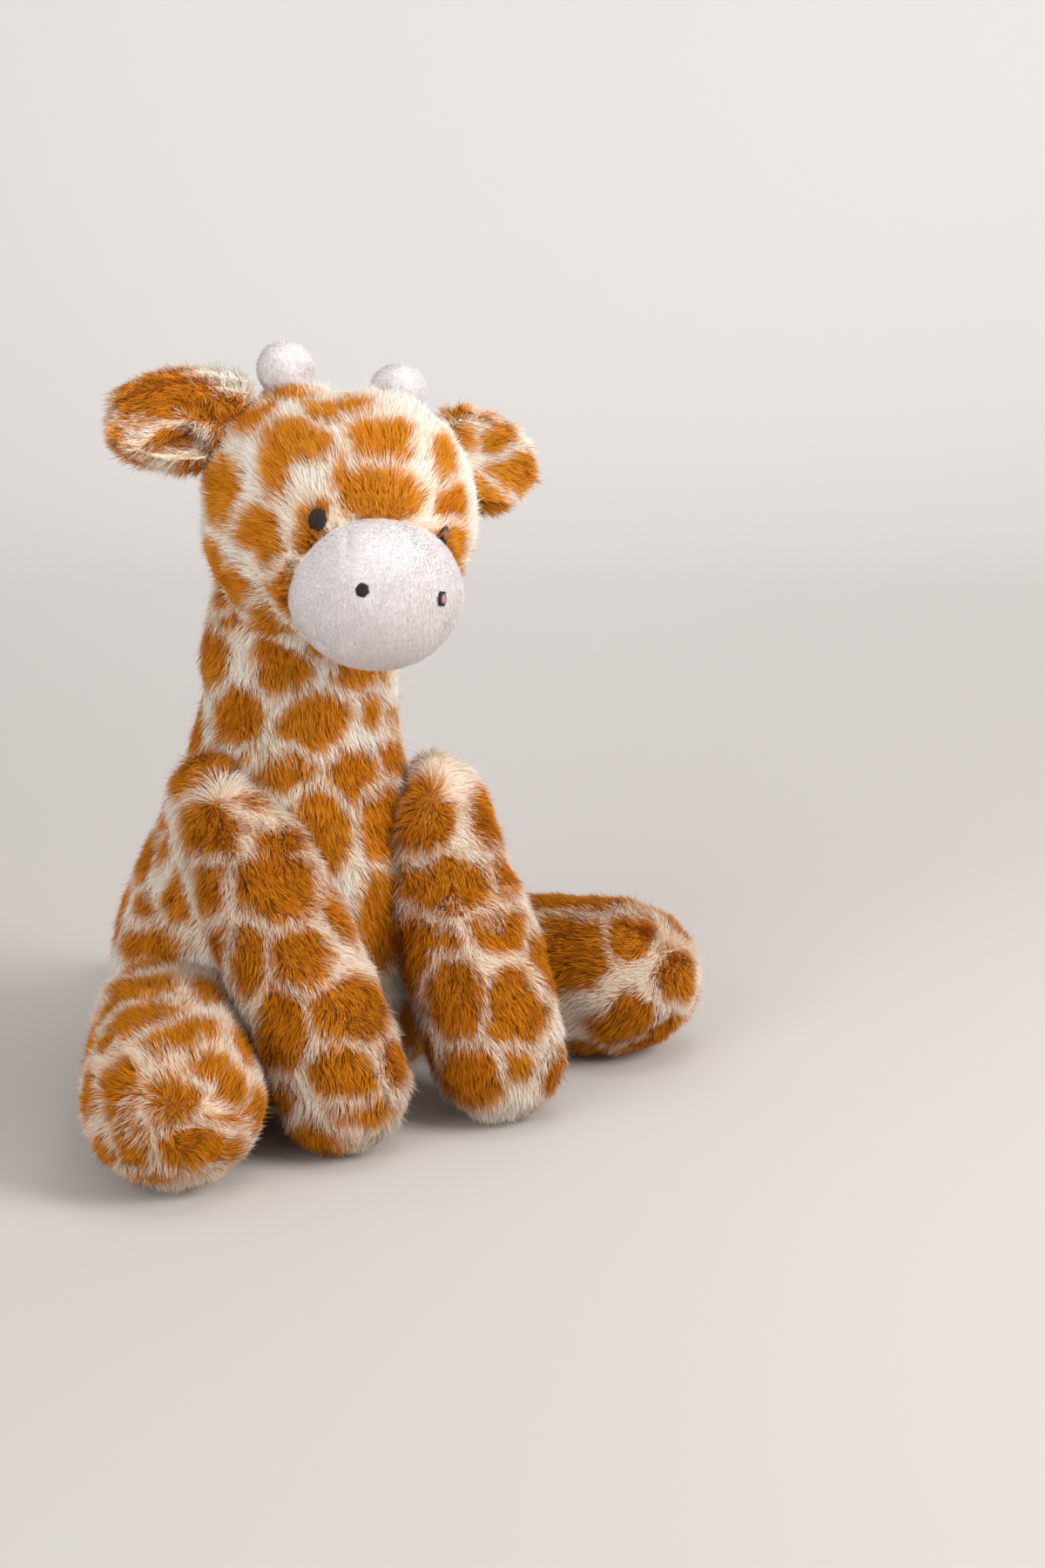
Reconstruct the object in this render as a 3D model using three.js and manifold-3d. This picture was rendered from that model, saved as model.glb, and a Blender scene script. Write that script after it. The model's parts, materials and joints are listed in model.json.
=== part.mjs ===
// A seated plush giraffe of patterned long-pile fabric, with a short-pile muzzle and horns.
// Lengths are in millimetres and angles in degrees. Up is +Z, the toy faces -Y and its left is +X.

import * as THREE from 'three';
import { mergeVertices } from 'three/addons/utils/BufferGeometryUtils.js';
import Module from 'manifold-3d';

const wasm = await Module();
wasm.setup();

// Fabric, seams and cutting allowances.
const plushThickness = 3.2;
const shortPileThickness = 2.2;
const stitchThickness = 0.9;
const seamGap = 0.35;
const sweepGap = 0.5;
const standingFlat = 0.5;
const overrun = 5;

// Body: a pear pressed flat where it sits; its neck lies ahead and to the left of the seat's middle.
const bodyHeight = 238;
const bellyHalfWidth = 73;
const bellyHalfDepth = 70;
const neckHalfWidth = 40;
const neckForward = 24.7;
const neckLeft = 12.4;
const seatBagHeight = 34;

// Head: a ball on the neck, turned, raised and tilted a little.
const headRadius = 56;
const headHeight = 249;
const headForward = 46;
const headLeft = 16;
const headTurn = -4;
const headRaise = 2;
const headTilt = 11;
const neckPlugRadius = 18;
const neckPlugLength = 42;

// Muzzle: an egg of short-pile fabric sewn into the front of the head.
const muzzleHalfWidth = 36.5;
const muzzleHalfDepth = 35;
const muzzleHalfHeight = 32;
const muzzleForward = 46;
const muzzleDrop = 24.5;
const nostrilHalfWidth = 3.6;
const nostrilHalfHeight = 3;
const nostrilSpread = 30;
const nostrilRise = 6;

// Eyes: embroidered discs on the head, beside the muzzle's upper edge.
const eyeHalfWidth = 3.8;
const eyeHalfHeight = 4.4;
const eyeSpread = 30;
const eyeRise = 2;

// Horns: rounded stubs of short-pile fabric.
const hornRadius = 10.8;
const hornRise = 18.5;
const hornSpread = 25;
const hornSetBack = 13;

// Ears: two plush leaves sewn edge to edge and folded along their length.
const earLength = 52;
const earHalfWidth = 24;
const earThickness = 5.5;
const earFold = 55;
const earRootRise = 34;
const earRootBack = 12;
const earSeat = 4;
const earRightDroop = 9;
const earRightSweep = 4;
const earLeftDroop = 20;
const earLeftSweep = 12;
const earFlap = 20;

// Arms: from the shoulder down to a beaded paw that stands on the floor.
const armRootHalfWidth = 19;
const pawHalfWidth = 29.5;
const pawHalfDepth = 29;
const armBow = 8;
const armBagShare = 0.62;
const armRightShoulderHeight = 131;
const armRightShoulderOut = 41;
const armRightShoulderForward = 10;
const armRightPawOut = 18;
const armRightPawForward = 113;
const armLeftShoulderHeight = 118;
const armLeftShoulderOut = 48;
const armLeftShoulderForward = 27;
const armLeftPawOut = 56;
const armLeftPawForward = 108;
const armLift = 50;

// Legs: from the hip out along the floor to a beaded foot.
const legLength = 132;
const legRootHalfWidth = 34;
const footHalfWidth = 37;
const footHalfHeight = 34;
const hipHeight = 36;
const hipInset = 10;
const legBagShare = 0.64;
const legRightHipAngle = 66;
const legRightAngle = 23;
const legLeftHipAngle = 95;
const legLeftAngle = 52;
const legRightInward = 0;
const legRightOutward = 35;
const legLeftInward = 12;
const legLeftOutward = 12;

// Tilt of the flat where an arm and the leg beside it press on each other.
const pressTilt = 25;

// Mouths in the sewn ends of the arm and leg covers.
const mouthRadius = 12;

// Tail: a plush tube with a tuft, low on the back.
const tailHeight = 50;
const tailRadius = 7;
const tailLength = 46;
const tailInset = 8;
const tailDip = 28;
const tuftRadius = 11;
const tuftLength = 32;
const tuftOverlap = 8;
const tailSwing = 25;

// Joint ranges of the head.
const nodDown = 8;
const turnSide = 30;

// Facet counts.
const bodySides = 20;
const bodyRings = 14;
const headSides = 24;
const headRings = 12;
const muzzleSides = 18;
const muzzleRings = 10;
const limbSides = 12;
const limbRings = 10;
const plugSides = 12;
const stitchSides = 12;
const hornSides = 12;
const hornDomeRings = 3;
const mouthSides = 10;
const earColumns = 7;
const earRows = 6;
const tailSides = 10;
const tailRings = 6;
const sweepStep = 10;

const degrees = Math.PI / 180;
const upward = new THREE.Vector3(0, 0, 1);
const forward = new THREE.Vector3(0, -1, 0);
const toyLeft = new THREE.Vector3(1, 0, 0);

// Looks of the fabrics and threads.
const fabrics = {
  plush: { color: 0xc98a3c, roughness: 0.95, metalness: 0 },
  shortPile: { color: 0xe8e2df, roughness: 0.9, metalness: 0 },
  thread: { color: 0x3a2823, roughness: 0.5, metalness: 0 },
  fibre: { color: 0xf4f4f2, roughness: 1, metalness: 0 },
  beans: { color: 0xd9d4c8, roughness: 0.8, metalness: 0 },
};

// Smooth value between the rows of a table whose first column is the share of the way.
function rowValue(rows, share, column) {
  let upper = 1;
  while (upper < rows.length - 1 && rows[upper][0] < share) {
    upper += 1;
  }
  const slope = (index) => {
    const before = rows[Math.max(index - 1, 0)];
    const after = rows[Math.min(index + 1, rows.length - 1)];
    return (after[column] - before[column]) / (after[0] - before[0]);
  };
  const start = rows[upper - 1];
  const end = rows[upper];
  const span = end[0] - start[0];
  const way = (share - start[0]) / span;
  const square = way * way;
  const cube = square * way;
  return start[column] * (2 * cube - 3 * square + 1)
    + slope(upper - 1) * span * (cube - 2 * square + way)
    + end[column] * (3 * square - 2 * cube)
    + slope(upper) * span * (cube - square);
}

// Closed surface through rings of points; the first and the last station are poles.
function loft(stations, sides) {
  const points = [];
  const faces = [];
  const rings = stations.slice(1, -1);
  for (const { centre, across, rise } of rings) {
    for (let side = 0; side < sides; side += 1) {
      const turn = 2 * Math.PI * side / sides;
      const point = centre.clone()
        .addScaledVector(across, Math.cos(turn))
        .addScaledVector(rise, Math.sin(turn));
      points.push(point.x, point.y, point.z);
    }
  }
  const first = rings.length * sides;
  const last = first + 1;
  points.push(...stations[0].centre.toArray());
  points.push(...stations[stations.length - 1].centre.toArray());
  for (let side = 0; side < sides; side += 1) {
    const next = (side + 1) % sides;
    faces.push(first, next, side);
    for (let ring = 0; ring < rings.length - 1; ring += 1) {
      const low = ring * sides;
      const high = low + sides;
      faces.push(low + side, low + next, high + side);
      faces.push(high + side, low + next, high + next);
    }
    const top = (rings.length - 1) * sides;
    faces.push(last, top + side, top + next);
  }
  const geometry = new THREE.BufferGeometry();
  geometry.setAttribute('position', new THREE.Float32BufferAttribute(points, 3));
  geometry.setIndex(faces);
  return geometry;
}

// The shared-vertex form of a geometry, with positions only.
function bareGeometry(geometry) {
  const bare = new THREE.BufferGeometry();
  bare.setAttribute('position', geometry.getAttribute('position'));
  if (geometry.index) {
    bare.setIndex(geometry.index);
  }
  return mergeVertices(bare);
}

// A copy whose surface lies outside the given one by the distance, or inside where it is negative.
function grown(geometry, distance) {
  const copy = bareGeometry(geometry.clone());
  copy.computeVertexNormals();
  const position = copy.getAttribute('position');
  const normal = copy.getAttribute('normal');
  for (let index = 0; index < position.count; index += 1) {
    position.setXYZ(
      index,
      position.getX(index) + distance * normal.getX(index),
      position.getY(index) + distance * normal.getY(index),
      position.getZ(index) + distance * normal.getZ(index),
    );
  }
  return copy;
}

function solidOf(geometry) {
  const bare = bareGeometry(geometry);
  return new wasm.Manifold(new wasm.Mesh({
    numProp: 3,
    vertProperties: new Float32Array(bare.getAttribute('position').array),
    triVerts: new Uint32Array(bare.index.array),
  }));
}

function placed(geometry, matrix) {
  return geometry.clone().applyMatrix4(matrix);
}

// Rotation by an angle about a line through a point.
function turnAbout(point, axis, angle) {
  return new THREE.Matrix4()
    .makeTranslation(point)
    .multiply(new THREE.Matrix4().makeRotationAxis(axis, angle * degrees))
    .multiply(new THREE.Matrix4().makeTranslation(point.clone().negate()));
}

// Union of a form's places as seen from a piece that turns from the first angle to the last.
function sweptAround(geometry, point, axis, from, to) {
  const steps = Math.ceil((to - from) / sweepStep);
  let union = null;
  for (let step = 0; step <= steps; step += 1) {
    const angle = from + (to - from) * step / steps;
    const copy = solidOf(placed(geometry, turnAbout(point, axis, -angle)));
    union = union ? union.add(copy) : copy;
  }
  return union;
}

// Everything beyond a plane, as a large block.
function beyondPlane(point, direction) {
  const side = 2 * (bodyHeight + legLength);
  const block = new THREE.BoxGeometry(side, side, side);
  const place = new THREE.Matrix4().compose(
    point.clone().addScaledVector(direction, side / 2),
    new THREE.Quaternion().setFromUnitVectors(upward, direction),
    new THREE.Vector3(1, 1, 1),
  );
  return solidOf(placed(block, place));
}

const belowFloor = beyondPlane(new THREE.Vector3(), upward.clone().negate());

// A node of the toy from a solid, in the group's own axes.
function piece(name, solid, fabric) {
  const result = solid.getMesh();
  const geometry = new THREE.BufferGeometry();
  geometry.setAttribute('position', new THREE.BufferAttribute(result.vertProperties, 3));
  geometry.setIndex(new THREE.BufferAttribute(result.triVerts, 1));
  geometry.computeVertexNormals();
  const material = new THREE.MeshStandardMaterial({ ...fabrics[fabric], flatShading: true });
  const mesh = new THREE.Mesh(geometry, material);
  mesh.name = name;
  return mesh;
}

// Body, from the seat to the neck. Columns: share of the height, share of the way from neck to belly.
const bodyWidthShares = [
  [0, 0.62],
  [0.045, 0.86],
  [0.125, 0.97],
  [0.231, 1],
  [0.339, 0.88],
  [0.445, 0.58],
  [0.552, 0.26],
  [0.677, 0.04],
  [0.784, -0.02],
  [0.89, -0.08],
  [0.95, -0.2],
  [1, -0.5],
];
const bodyRoundShare = 0.06;

function bodyCentre(share) {
  return new THREE.Vector3(neckLeft * share, -neckForward * share, share * bodyHeight);
}

function bodyHalf(share) {
  const swell = rowValue(bodyWidthShares, share, 1);
  const width = neckHalfWidth + (bellyHalfWidth - neckHalfWidth) * swell;
  const depth = neckHalfWidth + (bellyHalfDepth - neckHalfWidth) * swell;
  return { width, depth };
}

function bodyForm() {
  const low = -standingFlat;
  const lowest = bodyCentre(0).setZ(low);
  const seat = bodyHalf(0);
  const stations = [{ centre: lowest }];
  stations.push({
    centre: lowest,
    across: toyLeft.clone().multiplyScalar(seat.width),
    rise: forward.clone().multiplyScalar(-seat.depth),
  });
  for (let ring = 1; ring < bodyRings; ring += 1) {
    const even = ring / bodyRings;
    const crowded = (1 - Math.cos(Math.PI * even)) / 2;
    const share = (even + crowded) / 2;
    const half = bodyHalf(share);
    stations.push({
      centre: bodyCentre(share),
      across: toyLeft.clone().multiplyScalar(half.width),
      rise: forward.clone().multiplyScalar(-half.depth),
    });
  }
  const top = bodyHalf(1);
  stations.push({
    centre: bodyCentre(1),
    across: toyLeft.clone().multiplyScalar(top.width * (1 - bodyRoundShare)),
    rise: forward.clone().multiplyScalar(-top.depth * (1 - bodyRoundShare)),
  });
  stations.push({ centre: bodyCentre(1) });
  return loft(stations, bodySides);
}

const bodyOuter = bodyForm();

// Head frame: the ball's centre, its turn to the left, its raised face and its tilt to the left.
const headCentre = new THREE.Vector3(headLeft, -headForward, headHeight);
const headTurning = new THREE.Quaternion()
  .setFromAxisAngle(forward, -headTilt * degrees)
  .multiply(new THREE.Quaternion().setFromAxisAngle(toyLeft, -headRaise * degrees))
  .multiply(new THREE.Quaternion().setFromAxisAngle(upward, headTurn * degrees));
const headPlace = new THREE.Matrix4()
  .compose(headCentre, headTurning, new THREE.Vector3(1, 1, 1));

// A point at a distance from the head's centre, by its angle to the side and above the face.
function headPoint(distance, spread, rise) {
  return new THREE.Vector3(
    distance * Math.sin(spread * degrees) * Math.cos(rise * degrees),
    -distance * Math.cos(spread * degrees) * Math.cos(rise * degrees),
    distance * Math.sin(rise * degrees),
  );
}

// A ball or egg whose facets touch the true surface from inside, or from outside if round is true.
function egg(halfWidth, halfDepth, halfHeight, sides, rings, round) {
  const ease = round ? 1 / (Math.cos(Math.PI / sides) * Math.cos(Math.PI / (2 * rings))) : 1;
  const geometry = new THREE.SphereGeometry(1, sides, rings);
  geometry.rotateX(Math.PI / 2);
  geometry.scale(halfWidth * ease, halfDepth * ease, halfHeight * ease);
  return geometry;
}

function headEgg(growth) {
  const radius = headRadius + growth;
  return egg(radius, radius, radius, headSides, headRings, false);
}

// The ball that cuts what the head turns against, with finer facets around its true surface.
function headSpaceBall(growth) {
  const radius = headRadius + growth;
  return egg(radius, radius, radius, 2 * headSides, 2 * headRings, true);
}

function muzzleEgg(growth, round = false) {
  const geometry = egg(
    muzzleHalfWidth + growth,
    muzzleHalfDepth + growth,
    muzzleHalfHeight + growth,
    muzzleSides,
    muzzleRings,
    round,
  );
  geometry.translate(0, -muzzleForward, -muzzleDrop);
  return geometry;
}

// Neck axis, from the middle of the neck's seam to the head's centre, in the toy's axes.
const neckSeam = bodyCentre((headHeight - headRadius) / bodyHeight);
const neckAxis = headCentre.clone().sub(neckSeam).normalize();
const neckAxisInHead = neckAxis.clone().applyQuaternion(headTurning.clone().invert());

// A revolved form along an axis, from points of distance from the axis and way along it.
function revolved(profile, origin, axis, sides) {
  const outline = profile.map(([radius, way]) => new THREE.Vector2(radius, way));
  const geometry = new THREE.LatheGeometry(outline, sides);
  const turn = new THREE.Quaternion()
    .setFromUnitVectors(new THREE.Vector3(0, 1, 0), axis);
  const place = new THREE.Matrix4().compose(origin, turn, new THREE.Vector3(1, 1, 1));
  return placed(geometry, place);
}

const plugEdgeShare = 0.2;

// The plug in the neck, or the bore that it turns in if round is true.
function neckPlug(growth, round = false) {
  const ease = round ? 1 / Math.cos(Math.PI / plugSides) : 1;
  const radius = (neckPlugRadius + growth) * ease;
  const edge = radius * plugEdgeShare;
  const far = headRadius - neckPlugLength - growth;
  const profile = [
    [0, -headRadius - overrun],
    [radius, -headRadius - overrun],
    [radius, -far - edge],
    [radius - edge, -far],
    [0, -far],
  ];
  return revolved(profile, new THREE.Vector3(), neckAxisInHead, plugSides);
}

const headNodes = new THREE.Group();
headNodes.applyMatrix4(headPlace);

function addHeadPiece(name, solid, fabric) {
  headNodes.add(piece(name, solid, fabric));
}

// Head cover and filling, open to the neck and to the muzzle.
const headBall = solidOf(headEgg(0));
const muzzleBall = solidOf(muzzleEgg(0));
const headHollow = solidOf(headEgg(-plushThickness));
const muzzleHollow = solidOf(muzzleEgg(-shortPileThickness));
const neckBore = solidOf(neckPlug(seamGap, true));

addHeadPiece(
  'head_skin',
  headBall
    .subtract(headHollow)
    .subtract(solidOf(muzzleEgg(seamGap)))
    .subtract(neckBore),
  'plush',
);
addHeadPiece(
  'head_filling',
  solidOf(headEgg(-plushThickness - seamGap))
    .add(solidOf(muzzleEgg(-shortPileThickness - seamGap)))
    .subtract(neckBore),
  'fibre',
);
addHeadPiece('muzzle_skin', muzzleBall.subtract(muzzleHollow).subtract(headBall), 'shortPile');

// Embroidery: a disc of thread that follows the surface under it.
function stitchedDisc(direction, halfWidth, halfHeight, under, over) {
  const profile = [
    [0, 0],
    [1, 0],
    [1, 1],
    [0, 1],
  ];
  const disc = revolved(profile, new THREE.Vector3(), new THREE.Vector3(0, 1, 0), stitchSides);
  const reach = direction.length() + overrun;
  disc.rotateX(Math.PI);
  disc.scale(halfWidth, reach, halfHeight);
  const turn = new THREE.Quaternion()
    .setFromUnitVectors(forward, direction.clone().normalize());
  disc.applyQuaternion(turn);
  return solidOf(disc).intersect(over).subtract(under);
}

for (const [side, sign] of [['left', 1], ['right', -1]]) {
  const eyeWay = headPoint(headRadius, sign * eyeSpread, eyeRise);
  const eye = stitchedDisc(
    eyeWay,
    eyeHalfWidth,
    eyeHalfHeight,
    solidOf(headEgg(seamGap)),
    solidOf(headEgg(seamGap + stitchThickness)),
  );
  addHeadPiece(`eye_${side}`, eye, 'thread');
}

const muzzleCentre = new THREE.Vector3(0, -muzzleForward, -muzzleDrop);

for (const [side, sign] of [['left', 1], ['right', -1]]) {
  const way = headPoint(muzzleHalfDepth, sign * nostrilSpread, nostrilRise);
  const toMuzzle = new THREE.Matrix4().makeTranslation(muzzleCentre);
  const toOrigin = toMuzzle.clone().invert();
  const under = solidOf(placed(muzzleEgg(seamGap), toOrigin));
  const over = solidOf(placed(muzzleEgg(seamGap + stitchThickness), toOrigin));
  const disc = stitchedDisc(way, nostrilHalfWidth, nostrilHalfHeight, under, over);
  addHeadPiece(`nostril_${side}`, disc.translate(muzzleCentre.toArray()), 'thread');
}

// Horns: a cover that is open where it is sewn to the head, and its filling.
function hornForm(growth, origin, axis) {
  const radius = hornRadius + growth;
  const domeStart = headRadius + hornRise - hornRadius;
  const profile = [
    [0, headRadius / 2],
    [radius, headRadius / 2],
    [radius, headRadius],
  ];
  for (let ring = 0; ring < hornDomeRings; ring += 1) {
    const turn = Math.PI / 2 * ring / hornDomeRings;
    profile.push([radius * Math.cos(turn), domeStart + radius * Math.sin(turn)]);
  }
  profile.push([0, domeStart + radius]);
  return revolved(profile, origin, axis, hornSides);
}

for (const [side, sign] of [['left', 1], ['right', -1]]) {
  const axis = new THREE.Vector3(
    sign * Math.sin(hornSpread * degrees),
    Math.cos(hornSpread * degrees) * Math.sin(hornSetBack * degrees),
    Math.cos(hornSpread * degrees) * Math.cos(hornSetBack * degrees),
  );
  const centre = new THREE.Vector3();
  const onHead = solidOf(headEgg(seamGap));
  const outer = solidOf(hornForm(0, centre, axis));
  const inner = solidOf(hornForm(-shortPileThickness, centre, axis));
  const filling = solidOf(hornForm(-shortPileThickness - seamGap, centre, axis));
  addHeadPiece(`ossicone_${side}_skin`, outer.subtract(inner).subtract(onHead), 'shortPile');
  addHeadPiece(`ossicone_${side}_filling`, filling.subtract(onHead), 'fibre');
}

// Ears: leaves on a folded middle surface. Columns: share of the length, share of the half width.
const earWidthShares = [
  [0, 0.8],
  [0.3, 0.98],
  [0.55, 1],
  [0.8, 0.84],
  [1, 0.42],
];
const earEdgeShare = 0.35;
const earCurlShare = 0.12;

// A point of the ear: way along it, place across it from -1 to 1, and depth from its middle surface.
// Its leaves start behind the seam line, which the head's ball then trims.
function earPoint(way, across, depth) {
  const half = earHalfWidth * rowValue(earWidthShares, way, 1);
  const fold = earFold * degrees;
  const radius = half / fold;
  const turn = across * fold;
  const curl = earLength * earCurlShare * way * way;
  return new THREE.Vector3(
    way * (earLength + earSeat) - earSeat,
    (radius - depth) * (Math.cos(turn) - 1) + radius * (1 - Math.cos(fold)) / 2 - depth + curl,
    (radius - depth) * Math.sin(turn),
  );
}

function earPanel(near, far) {
  const points = [];
  const faces = [];
  const columns = earColumns + 1;
  const layer = columns * (earRows + 1);
  for (const depth of [near, far]) {
    for (let row = 0; row <= earRows; row += 1) {
      for (let column = 0; column <= earColumns; column += 1) {
        const way = column / earColumns;
        const across = 2 * row / earRows - 1;
        const square = Math.max(Math.abs(across), way) ** 2;
        const edge = square ** 3;
        const middle = (near + far) / 2;
        const flattened = depth + (middle - depth) * edge * (1 - earEdgeShare);
        points.push(...earPoint(way, across, flattened).toArray());
      }
    }
  }
  const quad = (a, b, c, d) => faces.push(a, b, c, a, c, d);
  for (let row = 0; row < earRows; row += 1) {
    for (let column = 0; column < earColumns; column += 1) {
      const corner = row * columns + column;
      quad(corner, corner + columns, corner + columns + 1, corner + 1);
      const other = layer + corner;
      quad(other, other + 1, other + columns + 1, other + columns);
    }
  }
  for (let column = 0; column < earColumns; column += 1) {
    const top = earRows * columns + column;
    quad(column, column + 1, layer + column + 1, layer + column);
    quad(top + 1, top, layer + top, layer + top + 1);
  }
  for (let row = 0; row < earRows; row += 1) {
    const root = row * columns;
    const tip = root + earColumns;
    quad(root + columns, root, layer + root, layer + root + columns);
    quad(tip, tip + columns, layer + tip + columns, layer + tip);
  }
  const geometry = new THREE.BufferGeometry();
  geometry.setAttribute('position', new THREE.Float32BufferAttribute(points, 3));
  geometry.setIndex(faces);
  return geometry;
}

// Place of an ear: its root on the head, its length outward, drooping and swept back.
function earPlace(sign, droop, sweep) {
  const side = new THREE.Vector3(sign, 0, 0);
  const away = side.clone()
    .applyAxisAngle(upward, sign * sweep * degrees)
    .applyAxisAngle(forward, -sign * droop * degrees);
  const thick = forward.clone().negate().applyAxisAngle(upward, sign * sweep * degrees);
  const wide = away.clone().cross(thick);
  const root = new THREE.Vector3(
    sign * Math.cos(earRootRise * degrees),
    Math.sin(earRootBack * degrees),
    Math.sin(earRootRise * degrees),
  ).normalize().multiplyScalar(headRadius + seamGap);
  if (wide.z < 0) {
    wide.negate();
  }
  return new THREE.Matrix4().makeBasis(away, thick, wide).setPosition(root);
}

const earSettings = [
  ['left', 1, earLeftDroop, earLeftSweep],
  ['right', -1, earRightDroop, earRightSweep],
];
for (const [side, sign, droop, sweep] of earSettings) {
  const place = earPlace(sign, droop, sweep);
  const mirrored = place.determinant() < 0;
  const root = new THREE.Vector3().setFromMatrixPosition(place);
  const seam = new THREE.Vector3().setFromMatrixColumn(place, 2);
  const headSide = sweptAround(headSpaceBall(seamGap), root, seam, -earFlap, earFlap);
  const layers = [
    ['front', seamGap / 2, earThickness + seamGap / 2],
    ['back', -earThickness - seamGap / 2, -seamGap / 2],
  ];
  for (const [layer, near, far] of layers) {
    const panel = placed(earPanel(near, far), place);
    if (mirrored) {
      panel.index.array.reverse();
    }
    addHeadPiece(`ear_${side}_${layer}`, solidOf(panel).subtract(headSide), 'plush');
  }
}

const toy = new THREE.Group();
toy.add(headNodes);

// Neck plug of filling that carries the head.
const plugSolid = solidOf(neckPlug(0)).intersect(solidOf(headEgg(-seamGap)));
const plugMesh = piece('neck_stuffing', plugSolid, 'fibre');
plugMesh.applyMatrix4(headPlace);
toy.add(plugMesh);

// The space that the head and its muzzle take at every turn and nod, cut from the body's top.
function headSweep() {
  let sweep = solidOf(placed(headSpaceBall(seamGap), headPlace));
  const nods = [0, nodDown];
  const turns = Math.ceil(2 * turnSide / sweepStep);
  for (const nod of nods) {
    const nodding = turnAbout(headCentre, toyLeft, nod);
    for (let step = 0; step <= turns; step += 1) {
      const angle = turnSide * (2 * step / turns - 1);
      const place = nodding.clone()
        .multiply(turnAbout(headCentre, neckAxis, angle))
        .multiply(headPlace);
      sweep = sweep.add(solidOf(placed(muzzleEgg(sweepGap, true), place)));
    }
  }
  return sweep;
}

const headSpace = headSweep();
const bodySolid = solidOf(bodyOuter).subtract(belowFloor);
const bodyHollow = solidOf(grown(bodyOuter, -plushThickness));
const bodyFill = solidOf(grown(bodyOuter, -plushThickness - seamGap)).subtract(headSpace);
const bagTop = new THREE.Vector3(0, 0, seatBagHeight);
const aboveBag = beyondPlane(bagTop, upward);
const aboveBagGap = beyondPlane(bagTop.clone().addScaledVector(upward, seamGap), upward);

// The head's space cuts the cover open at the neck.
toy.add(piece('torso_skin', bodySolid.subtract(bodyHollow).subtract(headSpace), 'plush'));
toy.add(piece('torso_filling', bodyFill.intersect(aboveBagGap), 'fibre'));
toy.add(piece('seat_bean_bag', bodyFill.subtract(aboveBag), 'beans'));

// A stuffed limb along a curve, with round ends. Columns: share of the way, half width, half depth.
function limbForm(
  curve, rows, startRound, endRound, across, sides = limbSides, rings = limbRings,
) {
  const length = curve.getLength();
  const stations = [];
  for (let ring = 0; ring <= rings; ring += 1) {
    const share = (1 - Math.cos(Math.PI * ring / rings)) / 2;
    const way = share * length;
    const centre = curve.getPointAt(share);
    const tangent = curve.getTangentAt(share);
    let round = 1;
    if (way < startRound) {
      round = Math.sqrt(1 - (1 - way / startRound) ** 2);
    }
    if (length - way < endRound) {
      round *= Math.sqrt(1 - (1 - (length - way) / endRound) ** 2);
    }
    const rise = tangent.clone().cross(across).normalize();
    const side = rise.clone().cross(tangent);
    stations.push({
      centre,
      across: side.multiplyScalar(round * rowValue(rows, share, 1)),
      rise: rise.multiplyScalar(round * rowValue(rows, share, 2)),
    });
  }
  return loft(stations, sides);
}

// A limb's form, lowered so that the floor cuts it as deep as the standing flat.
function lowered(form) {
  form.computeBoundingBox();
  form.translate(0, 0, -standingFlat - form.boundingBox.min.z);
  return form;
}

// Cover, filling and bag of beads of a limb. The body cuts it over the range of its joint, and the
// limb beside it along the flat where the two press on each other.
function addLimb(limb, flatPoint, flatWay) {
  const { name, form, joint, bagPoint, bagWay, mouth } = limb;
  const cutter = (distance) => {
    const body = sweptAround(
      grown(bodyOuter, distance), joint.point, joint.axis, joint.from, joint.to,
    );
    const flat = flatPoint.clone().addScaledVector(flatWay, sweepGap / 2 - distance);
    return body.add(beyondPlane(flat, flatWay));
  };
  const near = cutter(sweepGap);
  const far = cutter(sweepGap + plushThickness);
  const outer = solidOf(form).subtract(near).subtract(belowFloor);
  const inner = solidOf(grown(form, -plushThickness));
  const hollow = inner.subtract(far).add(inner.intersect(mouth));
  const fill = solidOf(grown(form, -plushThickness - seamGap)).subtract(far);
  const bagSide = beyondPlane(bagPoint, bagWay);
  const bagGapPoint = bagPoint.clone().addScaledVector(bagWay, -seamGap);
  toy.add(piece(`${name}_skin`, outer.subtract(hollow), 'plush'));
  toy.add(piece(`${name}_filling`, fill.subtract(beyondPlane(bagGapPoint, bagWay)), 'fibre'));
  toy.add(piece(`${name}_bean_bag`, fill.intersect(bagSide), 'beans'));
}

function limbMouth(point, axis, reach) {
  const profile = [
    [0, -reach],
    [mouthRadius, -reach],
    [mouthRadius, reach],
    [0, reach],
  ];
  return solidOf(revolved(profile, point, axis, mouthSides));
}

// Arms. Each swells from a narrow shoulder to a ball of a paw that stands on the floor.
const armWidthShares = [
  [0, 0],
  [0.3, 0.7],
  [0.55, 1.04],
  [0.85, 1],
  [1, 1],
];

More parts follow.
